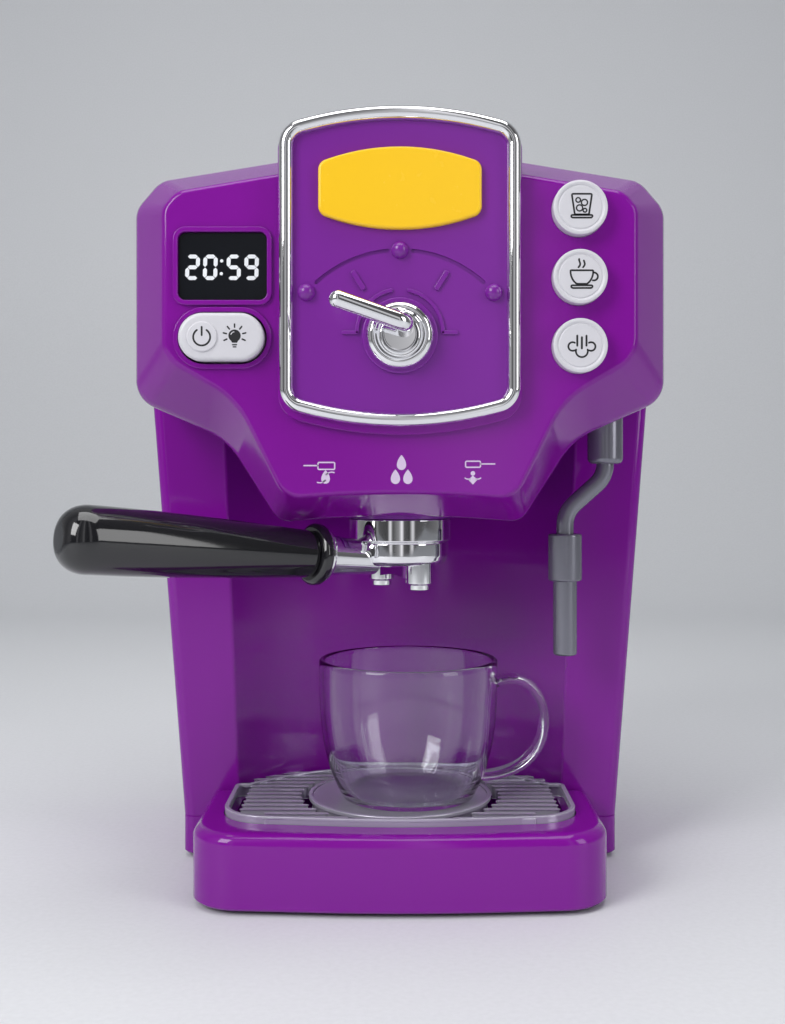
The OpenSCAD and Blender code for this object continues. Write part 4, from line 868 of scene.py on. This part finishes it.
def head_prints():
    t = 0.45
    shapes = [[drop(0.5, 146.7, 1.5, 5.0)], [drop(-1.5, 142.1, 1.5, 4.8)], [drop(2.6, 142.1, 1.5, 4.8)]]
    for x0, x1, z0, z1, end in ((-27.0, -21.5, 146.9, 149.2, -31.6), (21.6, 26.5, 147.6, 149.6, 31.2)):
        corners = [(x0, z0, 0.4), (x1, z0, 0.4), (x1, z1, 0.4), (x0, z1, 0.4)]
        zm = (z0 + z1) / 2 + 0.1
        shapes += [closed_stroke(resample(rounded(corners, 5), 60), t),
                   [stroke([(x0 if end < 0 else x1, zm), (end, zm)], t)]]
    shapes += [[drop(-24.5, 142.2, 1.4, 4.5)], [stroke(arc(-26.4, 144.9, 2.4, 250, 320, 12), 0.4)],
               [stroke(arc(-22.5, 143.6, 2.4, 70, 140, 12), 0.4)]]
    shapes += [[[tuple(q) for q in circle(24.0, 145.6, 0.75, 24)]],
               [[(24.0, 141.9), (25.5, 143.5), (24.0, 144.9), (22.5, 143.5)]]]
    shapes += [[stroke(arc(24.0 + k * 1.6, 145.2, 1.5, 270 - 25 * k, 270 + 40 * k, 10), 0.4)] for k in (-1, 1)]
    ink("head_marks", shapes, FACE_Y, LILAC, "housing")


def steam_knob():
    y = FACE_Y + PANEL + 1.4 + 0.1
    profile = [(0, 0)] + fillet([(10.6, 0), (11, 0.3), (11, 1.7), (10.4, 3.0), (9.2, 3.8), (8.2, 3.7), (7.4, 2.9),
                                 (6.4, 2.6), (5.7, 3.3), (5.0, 4.4)], 0.7) + [(0, 4.4)]
    disc = lathe("disc", profile, (0, -y, KNOB_Z), OUT)
    shaft = rod_y("shaft", 0, KNOB_Z, 3, y + 1, FACE_Y - 2.4 - 3 - 1, 48)
    root, bend_y = np.array([1.5, 0, KNOB_Z + 2.5]), y + 4.4 + 9
    d = np.array([-cos(radians(12)) * cos(radians(18)), -sin(radians(12)), cos(radians(12)) * sin(radians(18))])
    corner = root + np.array([0, -bend_y, 0])
    start, tip = root + np.array([0, -y - 1, 0]), corner + 22.5 * d
    a, b = corner + np.array([0, 2.6, 0]), corner + 2.6 * d
    path = [start] + [(1 - u) ** 2 * a + 2 * u * (1 - u) * corner + u * u * b for u in np.linspace(0, 1, 12)] + [tip]
    bar = tube("bar", path, 2.9, 40)
    turn = Vector(d).to_track_quat("Z", "Y").to_matrix().to_4x4()
    dome = lathe("dome", [(2.9 * cos(q), 2.6 * sin(q)) for q in np.linspace(0, pi / 2 - 0.01, 14)], tip, turn, 64)
    finished(joined("steam_knob_smooth", [disc, shaft, bar, dome]), CHROME, "knob", "steam_knob",
             angle=50)


# ---------------------------------------------------------------- filter holder, wand, cup

def along_grip(s=0):
    """The place s millimetres out along the handle's axis."""
    where = Matrix.Translation((0, -GROUP_Y, GRIP_Z)) @ Matrix.Rotation(radians(GRIP_TURN), 4, "Z")
    return where @ Matrix.Rotation(radians(90 - GRIP_RISE), 4, "Y") @ Matrix.Translation((0, 0, s))


def put(name, profile, place, segments=96):
    origin = place.to_translation()
    return lathe(name, profile, tuple(origin), place.to_3x3().to_4x4(), segments)


def filter_holder():
    bowl = [(0, 0)] + fillet([(14.2, 0), (16.0, 0.5), (17.1, 1.6), (17.6, 3.4), (17.6, 8.1), (17.1, 8.7), (18.6, 8.9),
                              (18.6, 16.8), (15.6, 16.8), (15.6, 8.8)], 0.5) + [(0, 8.8)]
    parts = [put("bowl", bowl, Matrix.Translation((0, -GROUP_Y, BASKET_FOOT)), 128)]
    parts.append(put("arm", [(0, 12), (5.8, 12), (7.35, 34), (0, 34)], along_grip()))
    parts.append(put("flange", [(0, 31.6)] + fillet([(7.35, 31.6), (9.2, 32.8), (9.8, 33.7), (9.8, 34.4)],
                                                    0.5) + [(0, 34.4)], along_grip()))
    turn = Matrix.Translation((0, -GROUP_Y, 0)) @ Matrix.Rotation(radians(SPOUT_TURN), 4, "Z")
    half = [(1.2, 108.8), (12, 107.4), (14.8, 107.4), (14.8, GRIP_Z)]
    outline = [(-u, z) for u, z in half[::-1]] + half
    parts.append(loft("block", [[turn @ Vector((u, v, z)) for u, z in outline] for v in (-3.2, 3.2)]))
    for s in (-1, 1):
        spout = [(0, 6), (2.6, 6)] + fillet([(2.6, 0), (3.8, 0), (3.8, 1.8), (4.8, 2.3), (4.8, 9.4)],
                                            0.35) + [(0, 9.4)]
        parts.append(put("spout", spout, turn @ Matrix.Translation((SPOUT_OFFSET * s, 0, SPOUT_TIP)), 48))
    finished(joined("filter_holder_smooth", parts), CHROME, "filter_holder", "filter_holder",
             angle=45)
    foot, tip_r, body, cap = 8.15, 10.93, GRIP_REACH - GRIP_START - 9.02, 9
    handle = [(0, 0), (foot - 0.5, 0), (foot, 0.5)] + [(foot + (tip_r - foot) * sin(pi / 2 * t), body * t)
                                                       for t in np.linspace(0.03, 1, 30)]
    handle += [(tip_r * (0.35 + 0.65 * cos(a)), body + cap * sin(a))
               for a in np.linspace(0.06, pi / 2, 18)] + [(0, body + cap)]
    rod = put("rod", [(0, 27.5), (3.5, 27.5), (3.5, 39.1), (0, 39.1)], along_grip(), 48)
    finished(joined("filter_grip_smooth", [put("grip", handle, along_grip(GRIP_START), 96), rod]), BLACK_GLOSS,
             "filter_holder", "filter_grip", angle=45)
    ring = fillet([(3.6, 0), (9.9, 0), (10.75, 0.8), (10.75, 3.0), (9.6, 4.0), (3.6, 4.0)], 0.6)
    finished(put("grip_collar_smooth", [(3.6, 0)] + ring + [(3.6, 4)], along_grip(GRIP_COLLAR), 96), BLACK_GLOSS,
             "filter_holder", "grip_collar", angle=45)


def wand():
    socket = [(0, 0)] + fillet([(4.75, 0), (5.85, 0.5), (6.35, 1.6), (6.35, SOCKET_H)],
                               0.5) + [(8.15, SOCKET_H), (8.15, 24.1), (0, 24.1)]
    finished(lathe("wand_socket_smooth", socket, (WAND_X, -WAND_Y, SOCKET_Z)), GREY, "housing",
             "wand_socket", angle=45)
    lean_len = (WAND_OFFSET - 2 * BEND_R * (1 - cos(LEAN))) / sin(LEAN)
    fall = 2 * BEND_R * sin(LEAN) + lean_len * cos(LEAN)
    path = [(0, 18.1)] + [(-BEND_R * (1 - cos(a)), -BEND_R * sin(a)) for a in np.linspace(0, LEAN, 16)]
    path += [(-WAND_OFFSET + BEND_R * (1 - cos(a)), -fall + BEND_R * sin(a))
             for a in np.linspace(LEAN, 0, 16)] + [(-WAND_OFFSET, PIPE_FOOT - SOCKET_Z)]
    bar = tube("wand_pipe_smooth", [(WAND_X + x, -WAND_Y, SOCKET_Z + z) for x, z in path], PIPE_R, 40)
    finished(bar, GREY, "wand", "wand_pipe", angle=45)
    sleeve = [(0, 4), (1.6, 4)] + fillet([(1.6, 0), (3.7, 0), (4.3, 0.6), (4.3, 26.9), (5.6, 26.9), (6.1, 27.4),
                                          (6.1, 43.4), (5.6, 43.9), (3.25, 43.9), (3.25, 33.8)], 0.4) + [(0, 33.8)]
    parts = [lathe("sleeve", sleeve, (WAND_X - WAND_OFFSET, -WAND_Y, SLEEVE_Z))]
    for k in (-1, 1):
        pts = [(-1.6, 0), (0, 1.3 * k), (1.6, 0)]
        face = [(WAND_X - WAND_OFFSET + a, -WAND_Y, 116 + 2.6 * k + b) for a, b in pts]
        parts.append(tube("chevron", [(x, y - sqrt(5.98 ** 2 - (x - WAND_X + WAND_OFFSET) ** 2), z) for x, y,
                                      z in face], 0.22, 8))
    finished(joined("wand_sleeve_smooth", parts), GREY, "wand", "wand_sleeve", angle=45)


def cup():
    def radius(h):
        return CUP_R - (CUP_R - CUP_FOOT_R) * (1 - h / CUP_H) ** 3.3

    n = 40
    outer = [(radius(h), h) for h in (0.8 + (CUP_H - 1.4) * (i / n) ** 1.4 for i in range(n + 1))]
    inner = []
    for i in range(n, -1, -1):
        t = i / n
        h = 4 + (CUP_H - 4.8) * t ** 1.4
        inner.append((radius(h) - CUP_WALL - 1.5 * (1 - t) ** 3, h))
    foot = [(0, 0.8), (CUP_FOOT_R - 3, 0.8), (CUP_FOOT_R - 2.6, 0.3), (CUP_FOOT_R - 2.0, 0), (CUP_FOOT_R - 0.5, 0),
            (CUP_FOOT_R - 0.05, 0.3)]
    lip = [(CUP_R - 0.15 - 0.9 * (1 - cos(a)), CUP_H - 0.55 + 0.55 * sin(a)) for a in np.linspace(0.3, pi - 0.3, 7)]
    floor = [(inner[-1][0] * q, 4 - 0.4 * (1 - q)) for q in (0.75, 0.5, 0.25)]
    glass = lathe("cup_smooth", foot + outer + lip + inner + floor + [(0, 3.6)], (CUP_X, -GROUP_Y, CUP_Z),
                  segments=128)
    p = [np.array(q) for q in ((radius(CUP_H - 9) - 1.1, CUP_H - 9), (CUP_REACH + 1, CUP_H + 1.5),
                               (CUP_REACH + 10.5, 10), (radius(9) - 1.1, 9))]
    rings = []
    for t in np.linspace(1, 0, 49):
        c = (1 - t) ** 3 * p[0] + 3 * t * (1 - t) ** 2 * p[1] + 3 * t * t * (1 - t) * p[2] + t ** 3 * p[3]
        h = unit(-3 * (1 - t) ** 2 * p[0] + 3 * (1 - t) * (1 - 3 * t) * p[1]
                 + 3 * t * (2 - 3 * t) * p[2] + 3 * t * t * p[3])
        e = np.array([-h[1], h[0]])
        rings.append([(CUP_X + c[0] + e[0] * 2 * cos(a), -GROUP_Y - 4 * sin(a), CUP_Z + c[1] + e[1] * 2 * cos(a))
                      for a in np.linspace(0, 2 * pi, 33)[:-1]])
    carve(glass, [loft("handle", rings)], "UNION")
    finished(glass, CLEAR, "cup", "cup", angle=60, weighted=False)


tray()
drip_grille()
column()
head()
dial_panel()
chrome_frame()
name_plate()
digits()
round_buttons()
power_key()
head_prints()
steam_knob()
filter_holder()
wand()
cup()

CAD_LOOKS = {
    "base_plate": PURPLE, "rubber_feet": RUBBER, "base_screws": STEEL, "rear_screws": STEEL, "display_board": BOARD,
    "control_board": BOARD, "main_board": BOARD, "speaker": BLACK_GLOSS, "battery_door": PURPLE,
             "batteries": BLACK_GLOSS,
    "battery_contacts": STEEL, "knob_retainer": WHITE, "group_collar": PANEL_PURPLE,
}
for node, mat in CAD_LOOKS.items():
    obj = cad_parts[node]
    obj.data.materials.clear()
    obj.data.materials.append(mat)
    obj.data.shade_smooth()
    obj.data.set_sharp_from_angle(angle=radians(30))

# ---------------------------------------------------------------- studio

world = bpy.data.worlds.new("studio")
bpy.context.scene.world = world
world.use_nodes = True
tree = world.node_tree
tree.nodes.clear()
link = tree.links.new
path, where = tree.nodes.new("ShaderNodeLightPath"), tree.nodes.new("ShaderNodeTexCoord")
plain, soft, room = (tree.nodes.new("ShaderNodeBackground") for _ in range(3))
plain.inputs["Color"].default_value = (0.86, 0.87, 0.88, 1)
soft.inputs["Color"].default_value, soft.inputs["Strength"].default_value = (0.80, 0.83, 0.88, 1), 0.33
# What glossy surfaces see: a dim room with tall bright panels round it
radial = tree.nodes.new("ShaderNodeTexGradient")
radial.gradient_type = "RADIAL"
link(where.outputs["Generated"], radial.inputs["Vector"])
panels = tree.nodes.new("ShaderNodeValToRGB")
panels.color_ramp.interpolation = "LINEAR"
PANELS = [(0.0, 0.16), (0.08, 0.45), (0.12, 0.08), (0.175, 0.06), (0.19, 0.85), (0.205, 0.07), (0.245, 0.28),
          (0.262, 0.95),
          (0.275, 0.10), (0.31, 0.05), (0.33, 0.75), (0.345, 0.08), (0.42, 0.08), (0.50, 0.16), (0.62, 0.35),
          (0.75, 0.4),
          (0.88, 0.35), (1.0, 0.16)]
ramp = panels.color_ramp
ramp.elements[0].position, ramp.elements[1].position = PANELS[0][0], PANELS[-1][0]
for position, _ in PANELS[1:-1]:
    ramp.elements.new(position)
for element, (_, v) in zip(ramp.elements, PANELS):
    element.color = (v, v, v * 1.03, 1)
link(radial.outputs["Fac"], panels.inputs["Fac"])
link(panels.outputs["Color"], room.inputs["Color"])


def either(a, b):
    node = tree.nodes.new("ShaderNodeMath")
    node.operation = "MAXIMUM"
    link(path.outputs[a], node.inputs[0])
    link(path.outputs[b], node.inputs[1])
    return node.outputs[0]


mix_room, mix = (tree.nodes.new("ShaderNodeMixShader") for _ in range(2))
out = tree.nodes.new("ShaderNodeOutputWorld")
link(path.outputs["Is Glossy Ray"], mix_room.inputs["Fac"])
link(soft.outputs["Background"], mix_room.inputs[1])
link(room.outputs["Background"], mix_room.inputs[2])
link(either("Is Camera Ray", "Is Transmission Ray"), mix.inputs["Fac"])
link(mix_room.outputs["Shader"], mix.inputs[1])
link(plain.outputs["Background"], mix.inputs[2])
link(mix.outputs["Shader"], out.inputs["Surface"])


def softbox(name, place, target, size, power):
    data = bpy.data.lights.new(name, "AREA")
    data.shape, data.size, data.size_y, data.energy = "RECTANGLE", size[0], size[1], power
    lamp = placed(name, data)
    lamp.location = place
    lamp.rotation_euler = (Vector(target) - Vector(place)).to_track_quat("-Z", "Y").to_euler()


softbox("key_left", (-0.75, -0.80, 0.75), (0, 0, 0.14), (0.50, 0.70), 8.5)
softbox("fill_right", (0.95, -0.70, 0.50), (0, 0, 0.14), (0.40, 0.80), 3.2)
softbox("top", (0.0, -0.15, 1.05), (0, 0, 0.12), (0.9, 0.6), 5)

floor_mesh = bpy.data.meshes.new("floor")
prof = [(-1.6, 0.0)] + [(0.75 + 0.45 * sin(a), 0.45 - 0.45 * cos(a))
                        for a in np.linspace(0, pi / 2, 14)] + [(1.2, 1.9)]
verts = [(x, y, z) for y, z in prof for x in (-2.4, 2.4)]
floor_mesh.from_pydata(verts, [], [(2 * i, 2 * i + 1, 2 * i + 3, 2 * i + 2) for i in range(len(prof) - 1)])
floor_mesh.shade_smooth()
floor = placed("floor", floor_mesh)
floor_mesh.materials.append(printed("paper", (0.80, 0.81, 0.83), 0.55))

camera_data = bpy.data.cameras.new("camera")
camera = placed("camera", camera_data)
bpy.context.scene.camera = camera
camera_data.lens, camera_data.sensor_width, camera_data.sensor_fit = 43.24, 36, "AUTO"
camera_data.shift_x, camera_data.shift_y = -0.0073, -0.041
camera_data.clip_start = 0.01
camera.location = (0, -0.476, 0.1467)
camera.rotation_euler = (radians(90), 0, 0)
bpy.context.scene.view_settings.view_transform = "Standard"
